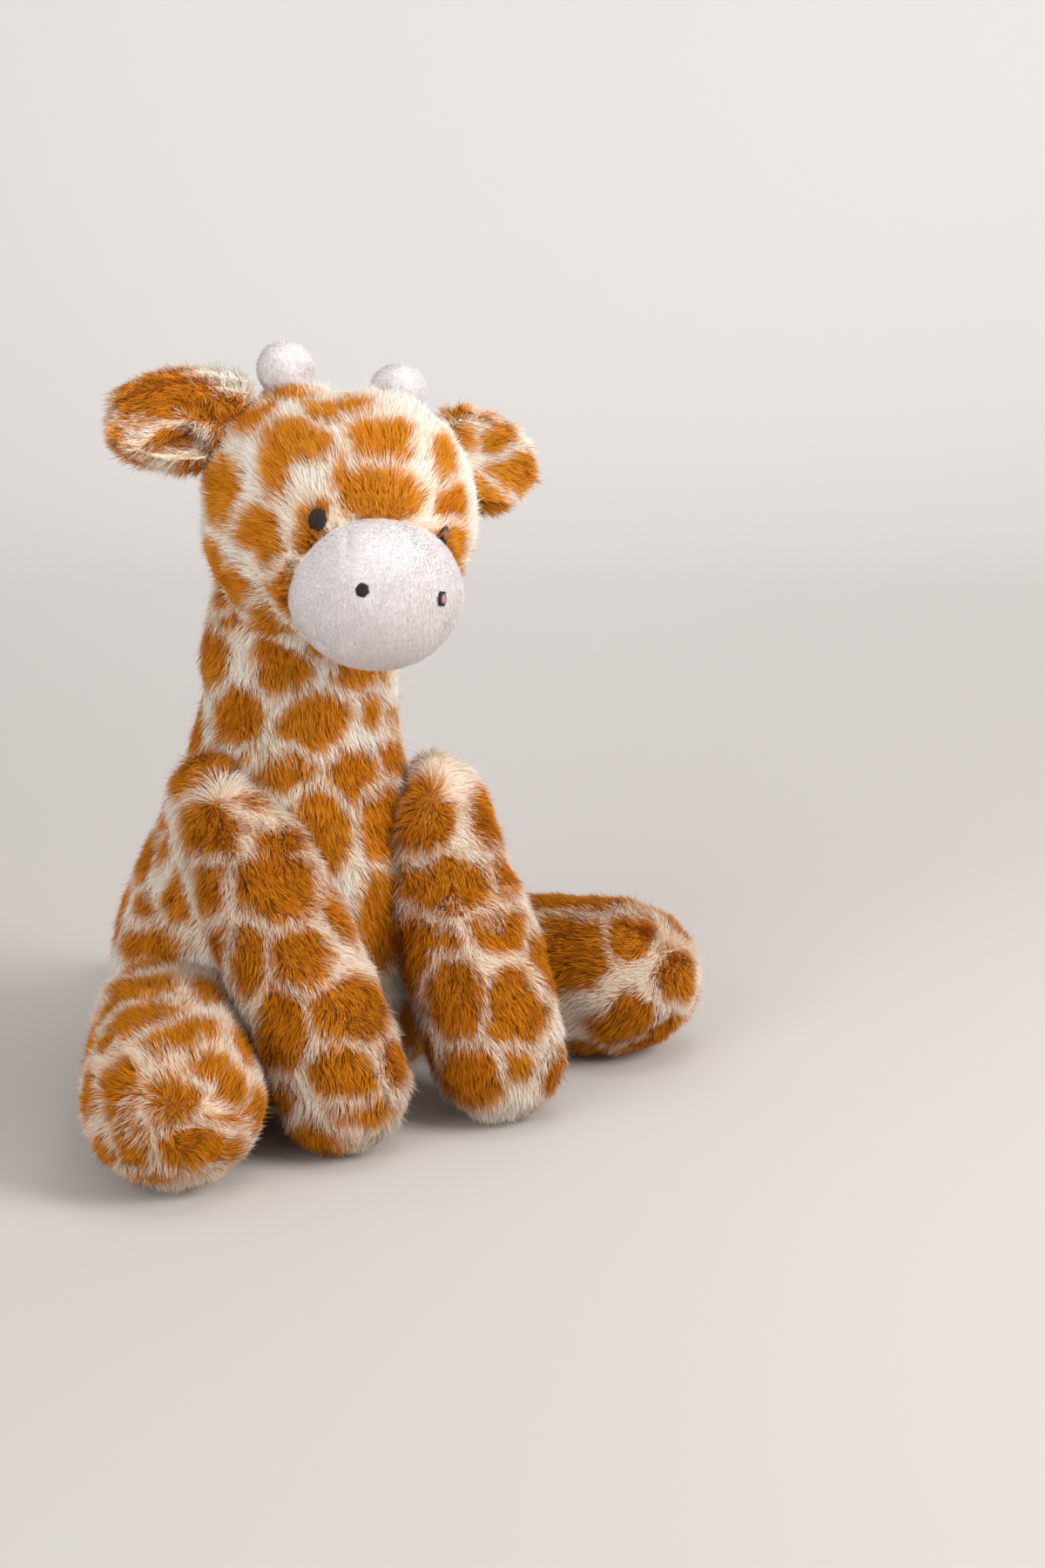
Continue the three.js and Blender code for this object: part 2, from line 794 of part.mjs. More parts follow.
function armLimb(side, sign, height, shoulderOut, shoulderForward, pawOut, pawForward) {
  const shoulder = bodyCentre(height / bodyHeight)
    .add(new THREE.Vector3(sign * shoulderOut, -shoulderForward, 0));
  const paw = new THREE.Vector3(sign * pawOut, -pawForward, pawHalfDepth - standingFlat);
  const way = paw.clone().sub(shoulder).normalize();
  const start = shoulder.clone().addScaledVector(way, -armRootHalfWidth);
  const end = paw.clone().addScaledVector(way, pawHalfDepth);
  const middle = shoulder.clone().lerp(paw, 0.5).addScaledVector(forward, armBow);
  const curve = new THREE.CatmullRomCurve3([start, shoulder, middle, paw, end]);
  const rows = armWidthShares.map(([share, swell]) => [
    share,
    armRootHalfWidth + (pawHalfWidth - armRootHalfWidth) * swell,
    armRootHalfWidth + (pawHalfDepth - armRootHalfWidth) * swell,
  ]);
  const form = lowered(limbForm(curve, rows, armRootHalfWidth, pawHalfDepth, toyLeft));
  const joint = {
    point: shoulder,
    axis: toyLeft.clone().negate(),
    from: 0,
    to: armLift,
  };
  return {
    name: `arm_${side}`,
    form,
    joint,
    bagPoint: shoulder.clone().lerp(paw, armBagShare),
    bagWay: way,
    mouth: limbMouth(shoulder, toyLeft, armRootHalfWidth),
  };
}

// Legs. Each lies on the floor and swells toward its foot.
const legWidthShares = [
  [0, 0],
  [0.35, 0.35],
  [0.65, 0.75],
  [0.88, 1],
  [1, 1],
];

function legLimb(side, sign, hipAngle, angle, inward, outward) {
  const share = hipHeight / bodyHeight;
  const half = bodyHalf(share);
  const hip = bodyCentre(share).add(new THREE.Vector3(
    sign * (half.width - hipInset) * Math.sin(hipAngle * degrees),
    -(half.depth - hipInset) * Math.cos(hipAngle * degrees),
    0,
  ));
  const away = new THREE.Vector3(
    sign * Math.sin(angle * degrees),
    -Math.cos(angle * degrees),
    0,
  );
  const root = hip.clone().setZ(legRootHalfWidth - standingFlat);
  const start = root.clone().addScaledVector(away, -legRootHalfWidth);
  const middle = root.clone().addScaledVector(away, legLength / 2);
  middle.z = (legRootHalfWidth + footHalfHeight) / 2 - standingFlat;
  const foot = root.clone().addScaledVector(away, legLength - footHalfWidth);
  foot.z = footHalfHeight - standingFlat;
  const end = root.clone().addScaledVector(away, legLength);
  end.z = footHalfHeight - standingFlat;
  const curve = new THREE.CatmullRomCurve3([start, root, middle, foot, end]);
  const rows = legWidthShares.map(([way, swell]) => [
    way,
    legRootHalfWidth + (footHalfWidth - legRootHalfWidth) * swell,
    legRootHalfWidth + (footHalfHeight - legRootHalfWidth) * swell,
  ]);
  const across = away.clone().cross(upward);
  const form = lowered(limbForm(curve, rows, legRootHalfWidth, footHalfWidth, across));
  const joint = {
    point: hip,
    axis: upward.clone().multiplyScalar(sign),
    from: -inward,
    to: outward,
  };
  return {
    name: `leg_${side}`,
    form,
    joint,
    bagPoint: root.clone().addScaledVector(away, legLength * legBagShare),
    bagWay: away,
    mouth: limbMouth(root, away, legRootHalfWidth),
    inner: across.multiplyScalar(sign).applyAxisAngle(away, -sign * pressTilt * degrees),
  };
}

// How far a form reaches along a direction.
function reachAlong(form, direction) {
  const position = form.getAttribute('position');
  const reaches = [];
  for (let index = 0; index < position.count; index += 1) {
    reaches.push(new THREE.Vector3().fromBufferAttribute(position, index).dot(direction));
  }
  return Math.max(...reaches);
}

// An arm and the leg beside it, with a flat halfway into both where they press on each other.
function addSide(arm, leg) {
  const towardLeg = leg.inner.clone().negate();
  const halfway = (reachAlong(leg.form, leg.inner) - reachAlong(arm.form, towardLeg)) / 2;
  const flatPoint = leg.inner.clone().multiplyScalar(halfway);
  addLimb(arm, flatPoint, towardLeg);
  addLimb(leg, flatPoint, leg.inner);
}

addSide(
  armLimb(
    'right', -1, armRightShoulderHeight, armRightShoulderOut, armRightShoulderForward,
    armRightPawOut, armRightPawForward,
  ),
  legLimb('right', -1, legRightHipAngle, legRightAngle, legRightInward, legRightOutward),
);
addSide(
  armLimb(
    'left', 1, armLeftShoulderHeight, armLeftShoulderOut, armLeftShoulderForward,
    armLeftPawOut, armLeftPawForward,
  ),
  legLimb('left', 1, legLeftHipAngle, legLeftAngle, legLeftInward, legLeftOutward),
);

// Tail: a plush tube that leans down from the back, and a tuft over its end.
const tailWidthShares = [
  [0, 1.15],
  [0.5, 1],
  [1, 0.9],
];
const tuftWidthShares = [
  [0, 0.7],
  [0.5, 1],
  [1, 0.75],
];

function tailPath(from, to) {
  const share = tailHeight / bodyHeight;
  const root = bodyCentre(share);
  root.y += bodyHalf(share).depth - tailInset;
  const way = upward.clone().applyAxisAngle(toyLeft, -(90 + tailDip) * degrees);
  const points = [0, 0.5, 1].map((part) => (
    root.clone().addScaledVector(way, from + (to - from) * part)
  ));
  return { root, curve: new THREE.CatmullRomCurve3(points) };
}

function tailForm(from, to, radius, shares) {
  const rows = shares.map(([share, swell]) => [share, radius * swell, radius * swell]);
  return limbForm(tailPath(from, to).curve, rows, radius, radius, toyLeft, tailSides, tailRings);
}

const tailRoot = tailPath(0, tailLength).root;
const tailTube = tailForm(-tailRadius, tailLength, tailRadius, tailWidthShares);
const tuft = tailForm(tailLength - tuftOverlap, tailLength + tuftLength, tuftRadius, tuftWidthShares);
const tailSide = sweptAround(
  grown(bodyOuter, sweepGap), tailRoot, upward, -tailSwing, tailSwing,
);
toy.add(piece('tail', solidOf(tailTube).subtract(tailSide), 'plush'));
toy.add(piece('tail_tuft', solidOf(tuft).subtract(solidOf(grown(tailTube, seamGap))), 'plush'));

export default toy;
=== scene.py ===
import json
import math
from itertools import product

import bpy
import numpy as np
from mathutils import Matrix, Quaternion, Vector
from mathutils.bvhtree import BVHTree
from mathutils.kdtree import KDTree


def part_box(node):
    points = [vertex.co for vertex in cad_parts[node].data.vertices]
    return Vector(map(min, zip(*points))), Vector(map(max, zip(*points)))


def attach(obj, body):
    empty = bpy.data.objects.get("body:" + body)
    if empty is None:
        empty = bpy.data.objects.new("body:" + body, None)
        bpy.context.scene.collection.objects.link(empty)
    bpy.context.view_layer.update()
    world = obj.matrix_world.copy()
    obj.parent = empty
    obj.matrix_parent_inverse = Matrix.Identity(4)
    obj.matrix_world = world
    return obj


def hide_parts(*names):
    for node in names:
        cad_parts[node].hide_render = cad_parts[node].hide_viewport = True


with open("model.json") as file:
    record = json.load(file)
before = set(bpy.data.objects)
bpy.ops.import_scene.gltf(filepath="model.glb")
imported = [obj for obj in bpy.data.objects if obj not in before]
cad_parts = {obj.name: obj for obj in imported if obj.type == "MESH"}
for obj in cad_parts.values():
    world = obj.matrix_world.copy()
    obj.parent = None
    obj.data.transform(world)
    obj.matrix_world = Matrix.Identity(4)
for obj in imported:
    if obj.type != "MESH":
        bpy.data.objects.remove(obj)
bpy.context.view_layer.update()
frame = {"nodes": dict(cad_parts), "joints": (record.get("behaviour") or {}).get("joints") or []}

MM = 0.001

# View: the eye, and the directions of the picture's right, its up and back toward the eye.
EYE = np.array([-636.6, -1490.2, 587.9])
RIGHT = np.array([0.89100652, -0.4539905, 0.0])
UP = np.array([0.12513674, 0.24559468, 0.9612617])
TOWARD = np.array([-0.43640368, -0.85649044, 0.27563736])
LENS_PIXELS = 4521.3
FRAME_HEIGHT = 1800
SENSOR = 24.0

# Head and muzzle, as in the part.
HEAD = np.array([16.0, -46.0, 249.0])
HEAD_TURNING = (
    Quaternion((0, -1, 0), math.radians(-11))
    @ Quaternion((1, 0, 0), math.radians(-2))
    @ Quaternion((0, 0, 1), math.radians(-4))
)
MUZZLE = np.array([0.0, -46.0, -24.5])
MUZZLE_HALF = np.array([36.5, 35.0, 32.0])

# Patches: the middle, the half width and half height across the view, a number that joins the rows
# of one patch, and the turn in degrees where there is one.
PATCHES = {
    "head": [
        (-16, -69, 288, 12.5, 7.3, 1), (-25, -70, 277, 6.9, 11.1, 1), (-10, -76, 287, 6.9, 6.2, 1),
        (6, -67, 300, 14, 5.9, 2), (-3, -66, 297, 4.9, 4.9, 2), (-5, -42, 301, 9.9, 3.2, 3),
        (-19, -38, 291, 9.2, 5.6, 3, 30), (17, -82, 291, 13.2, 7, 4), (16, -88, 285, 11.8, 5.6, 4),
        (10, -98, 267, 16.6, 10.4, 5), (9, -94, 275, 11.1, 5.5, 5), (-5, -90, 275, 3.1, 8.3, 5),
        (1, -95, 270, 7.6, 8.3, 5), (-19, -89, 256, 6.2, 10.4, 6), (-15, -90, 263, 6.2, 4.8, 6),
        (-19, -88, 249, 3.5, 4.8, 6), (-34, -69, 254, 9.4, 8.7, 7), (-31, -76, 246, 5.6, 7.6, 7),
        (-38, -45, 263, 7.7, 14.1, 8), (-25, -75, 225, 6.3, 11.9, 10), (-23, -54, 210, 11.3, 7.1, 11, -8),
        (46, -82, 278, 4.6, 9.8, 13), (45, -92, 260, 8.4, 7.7, 14), (45, -93, 242, 9.1, 10.5, 15),
        (-36, -34, 234, 6.4, 10, 9), (-32, -46, 222, 9.2, 10.6, 9),
    ],
    "ear_left": [
        (73, -35, 287, 10.9, 5.4, 1, -10), (88, -36, 282, 6.6, 5.1, 6), (93, -38, 274, 7.7, 8, 2),
        (104, -30, 256, 10.3, 9.2, 3), (89, -34, 246, 9.5, 8.8, 4), (78, -35, 266, 3.3, 5.5, 5),
    ],
    "ear_right": [
        (-54, -28, 301, 19.6, 9.1, 1), (-66, -23, 296, 9.1, 9.1, 1), (-36, -29, 294, 7.8, 7.8, 1),
        (-25, -31, 290, 12, 9.2, 1), (-72, -20, 285, 4.2, 14.1, 3), (-68, -22, 274, 6.3, 5.3, 3),
        (-54, -26, 282, 12, 3.2, 4, 8), (-43, -35, 270, 9.2, 4.6, 5), (-32, -32, 279, 5.3, 4.9, 1),
    ],
    "torso": [
        (-12, -52, 194, 12.1, 8.6, 2), (-13, -51, 184, 10, 8.6, 2), (21, -57, 180, 10.8, 7.2, 3),
        (-28, -35, 164, 10.8, 12.6, 4), (-2, -56, 165, 13.3, 11.8, 5), (25, -54, 167, 5.1, 7.2, 6),
        (39, -46, 145, 6.6, 11.7, 7), (-31, -35, 148, 16.2, 4.3, 8), (-16, -53, 144, 12.9, 7.9, 10),
        (14, -59, 139, 10.1, 9.4, 11), (-3, -64, 118, 12.2, 16.6, 12), (27, -60, 118, 8.7, 15.3, 13),
        (21, -72, 80, 9.4, 18.9, 14), (-65, -22, 67, 18.3, 7.3, 18), (-40, -1, 131, 4.4, 7, 9),
        (-49, 2, 112, 3.7, 4.8, 15), (-55, 7, 96, 5.5, 11.8, 16), (-54, -12, 106, 2.6, 6.2, 17),
        (-55, -33, 89, 5.8, 13.1, 19), (-64, -13, 80, 6.2, 5.9, 20), (-29, -15, 187, 8, 13.1, 1),
        (-27, -26, 204, 6.5, 5.8, 21), (-22, -40, 204, 5, 3.6, 21), (38, -46, 154, 4.4, 7.3, 22),
    ],
    "arm_right": [
        (-48, -55, 124, 16.1, 12.1, 1), (-30, -56, 133, 6.1, 5.4, 16), (-26, -72, 120, 11.8, 6.1, 2),
        (-34, -87, 106, 19.1, 12.7, 2), (-54, -66, 103, 7.8, 12.1, 3), (-55, -73, 81, 4.6, 10.7, 4),
        (-50, -95, 80, 7.4, 13.4, 5), (-33, -108, 82, 13.3, 12.6, 6), (-16, -123, 63, 16.8, 13.3, 7),
        (-45, -115, 54, 9.5, 17.5, 8), (-26, -136, 40, 12.6, 12.6, 9), (-2, -132, 40, 7.7, 8.8, 10),
        (-46, -115, 26, 5.6, 8.4, 11), (-37, -120, 9, 16.9, 6, 12), (-21, -140, 24, 11.9, 5.2, 13),
        (-9, -93, 95, 4.3, 13.1, 14, 28),
    ],
    "arm_left": [
        (43, -66, 120, 11.3, 18.2, 1), (75, -62, 113, 8.1, 14.7, 2), (40, -91, 98, 20.9, 11.2, 3),
        (57, -110, 82, 12.9, 9, 4), (68, -93, 97, 6.5, 8.7, 5), (26, -87, 66, 7.2, 15.9, 6),
        (31, -98, 79, 10.1, 5.4, 6), (33, -113, 56, 14.3, 15.7, 7), (57, -127, 54, 13.6, 15, 8),
        (77, -111, 63, 7.2, 13, 9), (30, -94, 25, 4.7, 10.2, 10), (33, -125, 24, 13.6, 12.2, 11),
        (53, -135, 31, 6.4, 7.1, 12),
    ],
    "leg_right": [
        (-71, -27, 64, 13.8, 4.7, 1), (-86, -56, 63, 14.6, 5, 2, 8), (-97, -55, 53, 4.3, 6.8, 2),
        (-100, -95, 64, 14.3, 5.2, 3, 12), (-111, -96, 57, 4.5, 5.6, 3), (-95, -125, 65, 15.1, 6.2, 4, 8),
        (-81, -121, 64, 9, 4.5, 4), (-96, -47, 51, 2.1, 4.7, 5), (-120, -129, 51, 8.2, 11.9, 6),
        (-120, -139, 30, 6.1, 9.9, 6), (-126, -108, 41, 2.8, 7.6, 7), (-89, -139, 59, 8.9, 6.1, 8),
        (-80, -146, 48, 6.1, 6.8, 8), (-105, -146, 48, 11.5, 9.5, 9), (-85, -150, 37, 8.5, 4.1, 10),
        (-95, -151, 26, 14.3, 8.8, 11), (-65, -138, 34, 4.8, 7.9, 12), (-124, -119, 19, 4.5, 7.2, 13),
        (-109, -135, 11, 8.2, 2.7, 14), (-84, -144, 15, 6.2, 2.4, 15), (-62, -113, 53, 4.5, 7.7, 16, 20),
        (-62, -77, 64, 4.6, 6.4, 17, 20), (-118, -115, 55, 3.4, 2.7, 18),
    ],
    "leg_left": [
        (124, -44, 67, 21.2, 5.3, 1), (106, -67, 54, 16.5, 14.2, 2), (134, -77, 60, 9.7, 9, 3),
    ],
}


# Arrays and noise

def unit(vectors):
    return vectors / np.maximum(np.linalg.norm(vectors, axis=-1, keepdims=True), 1e-9)


def smooth_step(low, high, value):
    way = np.clip((value - low) / (high - low), 0, 1)
    return way * way * (3 - 2 * way)


WORD = 0xFFFFFFFF


def noise(points, size, seed):
    """Smooth noise from -1 to 1 with features of that size."""
    place = points / size + seed * 17.31
    base = np.floor(place).astype(np.int64)
    part = place - base
    part = part * part * (3 - 2 * part)
    total = np.zeros(len(points))
    for corner in product((0, 1), repeat=3):
        index = base + np.array(corner)
        mixed = (index[:, 0] * 73856093) ^ (index[:, 1] * 19349663) ^ (index[:, 2] * 83492791)
        mixed = (mixed ^ (seed * 2654435761)) & WORD
        for shift, factor in ((15, 2246822519), (13, 3266489917)):
            mixed = ((mixed ^ (mixed >> shift)) * factor) & WORD
        value = ((mixed ^ (mixed >> 16)) & 0xFFFF) / 32767.5 - 1
        weight = np.prod(np.where(np.array(corner), part, 1 - part), axis=1)
        total += value * weight
    return total


def noise_vectors(points, size, seed):
    return np.stack([noise(points, size, seed + k) for k in range(3)], axis=1)


# Meshes as arrays in millimetres

def mesh_arrays(mesh):
    points = np.empty(len(mesh.vertices) * 3, np.float32)
    mesh.vertices.foreach_get("co", points)
    mesh.calc_loop_triangles()
    faces = np.empty(len(mesh.loop_triangles) * 3, np.int32)
    mesh.loop_triangles.foreach_get("vertices", faces)
    return points.reshape(-1, 3).astype(float) / MM, faces.reshape(-1, 3)


def cad_arrays(names):
    points, faces, count = [], [], 0
    for name in names:
        some, triangles = mesh_arrays(frame["nodes"][name].data)
        points.append(some)
        faces.append(triangles + count)
        count += len(some)
    return np.concatenate(points), np.concatenate(faces)


def mesh_of(name, points, faces):
    mesh = bpy.data.meshes.new(name)
    mesh.from_pydata((points * MM).tolist(), [], faces.tolist())
    return mesh


def object_of(name, mesh):
    made = bpy.data.objects.new(name, mesh)
    bpy.context.scene.collection.objects.link(made)
    return made


def placed(name, mesh, body, material, nodes=()):
    """The mesh as a piece on its body, in place of the named CAD nodes."""
    made = object_of(name, mesh)
    mesh.materials.append(materials[material])
    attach(made, body)
    if nodes:
        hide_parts(*nodes)
    return made


def set_values(mesh, name, values):
    attribute = mesh.attributes.new(name, "FLOAT", "POINT")
    attribute.data.foreach_set("value", np.asarray(values).astype(np.float32))


def vertex_normals(points, faces):
    cross = np.cross(points[faces[:, 1]] - points[faces[:, 0]], points[faces[:, 2]] - points[faces[:, 0]])
    total = np.zeros_like(points)
    for corner in range(3):
        for axis in range(3):
            total[:, axis] += np.bincount(faces[:, corner], cross[:, axis], len(points))
    return unit(total)


def largest_shell(points, faces):
    label = np.arange(len(points))
    while True:
        low = label[faces].min(axis=1)
        before = label.copy()
        for corner in range(3):
            np.minimum.at(label, faces[:, corner], low)
        label = label[label]
        if (label == before).all():
            break
    kept = label[faces[:, 0]] == np.bincount(label).argmax()
    used, index = np.unique(faces[kept], return_inverse=True)
    return points[used], index.reshape(-1, 3)


def relaxed(points, faces, rounds, amount=0.5, swell=1.02):
    """Evens out a surface, and swells it back after each shrinking step; a low swell rounds rims off."""
    ends = np.concatenate([faces[:, [0, 1]], faces[:, [1, 2]], faces[:, [2, 0]]])
    ends = np.unique(np.sort(ends, axis=1), axis=0)
    count = np.maximum(np.bincount(ends.ravel(), minlength=len(points)), 1)[:, None]
    for _ in range(rounds):
        for share in (amount, -amount * swell):
            total = np.zeros_like(points)
            for axis in range(3):
                total[:, axis] += np.bincount(ends[:, 0], points[ends[:, 1], axis], len(points))
                total[:, axis] += np.bincount(ends[:, 1], points[ends[:, 0], axis], len(points))
            points = points + share * (total / count - points)
    return points


def fused(names, voxel, rounds):
    """One closed surface around the named CAD nodes."""
    points, faces = cad_arrays(names)
    made = object_of("fusing", mesh_of("fusing", points, faces))
    remesh = made.modifiers.new("remesh", "REMESH")
    remesh.mode = "VOXEL"
    remesh.voxel_size = voxel * MM
    graph = bpy.context.evaluated_depsgraph_get()
    mesh = bpy.data.meshes.new_from_object(made.evaluated_get(graph))
    points, faces = mesh_arrays(mesh)
    bpy.data.objects.remove(made)
    points, faces = largest_shell(points, faces)
    return relaxed(points, faces, rounds), faces


def tree_of(points, faces):
    return BVHTree.FromPolygons(points.tolist(), faces.tolist())


def distances(tree, points, reach):
    found = np.full(len(points), float(reach))
    for index, point in enumerate(points.tolist()):
        near = tree.find_nearest(point, reach)
        if near[0] is not None:
            found[index] = near[3]
    return found


# Pattern, with lengths in millimetres

REACH, LEG_REACH = 1.15, 1.42
LARGEST = 10.0
HALF_BAND = 1.4
OUTSIDE = -9.0
PATTERN_SEED = 11
SCATTER_FROM = 7000
SCATTER_SPACING = 23.0
SCATTER_RADII = (12.0, 16.5)

scattered = {}


def hand_fields(points, group, least=0.0):
    """How deep each point lies in each of the listed patches."""
    kinds = {}
    reach = LEG_REACH if group.startswith("leg") else REACH
    for x, y, z, wide, high, kind, *turn in PATCHES.get(group, []):
        angle = math.radians(sum(turn))
        c, s = math.cos(angle), math.sin(angle)
        off = points - np.array([x, y, z])
        across, rise, back = off @ RIGHT, off @ UP, off @ TOWARD
        across, rise = across * c + rise * s, rise * c - across * s
        deep = 1.5 * max(wide, high) + 3
        length = np.sqrt((across / wide) ** 2 + (rise / high) ** 2 + (back / deep) ** 2)
        inside = (reach - length) * max(min(wide, high, LARGEST), least)
        kinds[kind] = np.maximum(kinds.get(kind, inside), inside)
    return list(kinds.values())


def patch_field(points, group):
    """How deep each point lies in a caramel patch; below zero it is in a cream band."""
    seed = PATTERN_SEED
    warped = points + 2.3 * noise_vectors(points, 9.0, seed) + 0.9 * noise_vectors(points, 4.0, seed + 7)
    loose = points + 4.6 * noise_vectors(points, 13.0, seed + 5)
    fields = hand_fields(warped, group)
    fields += [radius - np.linalg.norm(loose - place, axis=1) for place, radius in scattered.get(group, [])]
    fields += [np.full(len(points), OUTSIDE)] * 2
    fields = np.sort(np.array(fields), axis=0)
    half_band = HALF_BAND * (1 + 0.9 * noise(points, 12.0, seed + 9))
    return np.minimum(fields[-1], (fields[-1] - fields[-2]) / 2 - half_band)


def scatter_patches(points, group, seed):
    """Patches on the sides that the listed ones don't reach."""
    rng = np.random.default_rng(seed)
    order = rng.permutation(len(points))[:SCATTER_FROM]
    fields = hand_fields(points[order], group, least=9.0)
    if fields:
        order = order[np.max(fields, axis=0) < -9.5]
    chosen = []
    for place in points[order]:
        if all(np.linalg.norm(place - other) > SCATTER_SPACING for other, _ in chosen):
            chosen.append((place, rng.uniform(*SCATTER_RADII)))
    scattered[group] = chosen


# Fur

def sampled(points, faces, density, rng, mask=None):
    """Roots spread over the surface. mask gives each vertex the share of roots that stay there."""
    a, b, c = points[faces[:, 0]], points[faces[:, 1]], points[faces[:, 2]]
    area = np.linalg.norm(np.cross(b - a, c - a), axis=1) / 2
    if mask is not None:
        area = area * mask[faces].mean(axis=1)
    total = area.sum()
    count = int(total * density)
    ways = (np.arange(count) + rng.uniform(0, 1, count)) / count * total
    index = np.minimum(np.searchsorted(np.cumsum(area), ways), len(faces) - 1)
    u, v = rng.uniform(0, 1, count), rng.uniform(0, 1, count)
    flip = u + v > 1
    u[flip], v[flip] = 1 - u[flip], 1 - v[flip]
    normals = vertex_normals(points, faces)
    weights = np.stack([1 - u - v, u, v], axis=1)[:, :, None]
    place = (points[faces[index]] * weights).sum(axis=1)
    normal = unit((normals[faces[index]] * weights).sum(axis=1))
    return place, normal


def turned(vectors, axes, angles):
    c, s = np.cos(angles)[:, None], np.sin(angles)[:, None]
    along = (vectors * axes).sum(axis=1, keepdims=True)
    return vectors * c + np.cross(axes, vectors) * s + axes * along * (1 - c)


def tangent(vectors, normals):
    flat = vectors - normals * (vectors * normals).sum(axis=1, keepdims=True)
    return unit(flat)


def strand_mesh(name, stages, half_widths, sides, normals, values):
    """Tapered strands, in two lengths or in one: stages are the root, the middle if any, and the tip."""
    count = len(stages[0])
    rows = []
    for stage, half in zip(stages[:-1], half_widths):
        rows += [stage - sides * half[:, None], stage + sides * half[:, None]]
    points = np.stack([*rows, stages[-1]], axis=1).reshape(-1, 3)
    if len(stages) == 3:
        corners, starts, size = [0, 1, 3, 2, 2, 3, 4], [0, 4], 5
        ways = [0.0, 0.0, 0.5, 0.5, 1.0]
        map_shape = [[0.1, 0.05], [0.9, 0.05], [0.9, 0.55], [0.1, 0.55],
                     [0.1, 0.55], [0.9, 0.55], [0.5, 0.95]]
    else:
        corners, starts, size = [0, 1, 2], [0], 3
        ways = [0.0, 0.0, 1.0]
        map_shape = [[0.1, 0.05], [0.9, 0.05], [0.5, 0.95]]
    step = np.arange(count)[:, None]
    mesh = bpy.data.meshes.new(name)
    mesh.vertices.add(count * size)
    mesh.vertices.foreach_set("co", (points * MM).astype(np.float32).ravel())
    mesh.loops.add(count * len(corners))
    mesh.loops.foreach_set("vertex_index", (step * size + corners).astype(np.int32).ravel())
    mesh.polygons.add(count * len(starts))
    mesh.polygons.foreach_set("loop_start", (step * len(corners) + starts).astype(np.int32).ravel())
    mesh.update(calc_edges=True)
    mesh.shade_smooth()
    for label, per_strand in values.items():
        set_values(mesh, label, np.repeat(per_strand, size))
    set_values(mesh, "way", np.tile(ways, count))
    shade = mesh.attributes.new("custom_normal", "FLOAT_VECTOR", "POINT")
    shade.data.foreach_set("vector", np.repeat(normals, size, axis=0).astype(np.float32).ravel())
    grid_map(mesh, count, np.array(map_shape))
    return mesh


def grid_map(mesh, count, shape):
    """A cell of the map for each strand, in the strands' order, back and forth along the rows."""
    across = math.ceil(math.sqrt(count))
    row, column = np.divmod(np.arange(count), across)
    column = np.where(row % 2, across - 1 - column, column)
    cells = np.stack([column, row], axis=1)[:, None, :] + shape[None]
    layer = mesh.uv_layers.new(name="OFBake")
    layer.uv.foreach_set("vector", (cells / across).astype(np.float32).ravel())


def surface_order(points):
    """An order in which neighbours in the list are near each other on the surface."""
    middle = points.mean(axis=0)
    some = points[:: max(len(points) // 4000, 1)]
    _, _, axes = np.linalg.svd(some - middle, full_matrices=False)
    along = (points - middle) @ axes[0]
    around = np.arctan2((points - middle) @ axes[1], (points - middle) @ axes[2])
    across = math.ceil(math.sqrt(len(points)))
    row = np.empty(len(points), int)
    row[np.argsort(along)] = np.arange(len(points)) // across
    around = np.where(row % 2, -around, around)
    return np.lexsort((around, row))


DENSITY = 2.2
WIDTH = 0.33
MOST_STRANDS = 66000
LIGHT_WAY = unit(np.array([0.5, -0.6, 0.6]))
FLOOR_ROOM = 0.4
LOOSE_RISE = np.radians(28)
# Sizes of the noise in the strands' turn, length and rise.
WAVE, RIPPLE, LENGTHS, LIFTS = 20.0, 7.0, 6.0, 8.0
# How many strands make a lock and a wider tuft.
LOCK, TUFT = 9, 63

# Frosted places, where cream tips show in a patch: the middle, the radius and the share of strands.
FROST = {
    "leg_right": [(-121, -143, 40, 16, 0.5), (-103, -132, 58, 13, 0.45), (-112, -130, 34, 12, 0.35)],
    "arm_left": [(38, -101, 87, 12, 0.4), (55, -104, 84, 10, 0.4)],
    "arm_right": [(-51, -52, 150, 14, 0.6), (-28, -60, 134, 9, 0.3)],
    "head": [(-33, -80, 240, 8, 0.3)],
    "ear_right": [(-62, -22, 288, 9, 0.4), (-48, -26, 292, 6, 0.4)],
    "ear_left": [(83, -38, 281, 9, 0.4)],
}


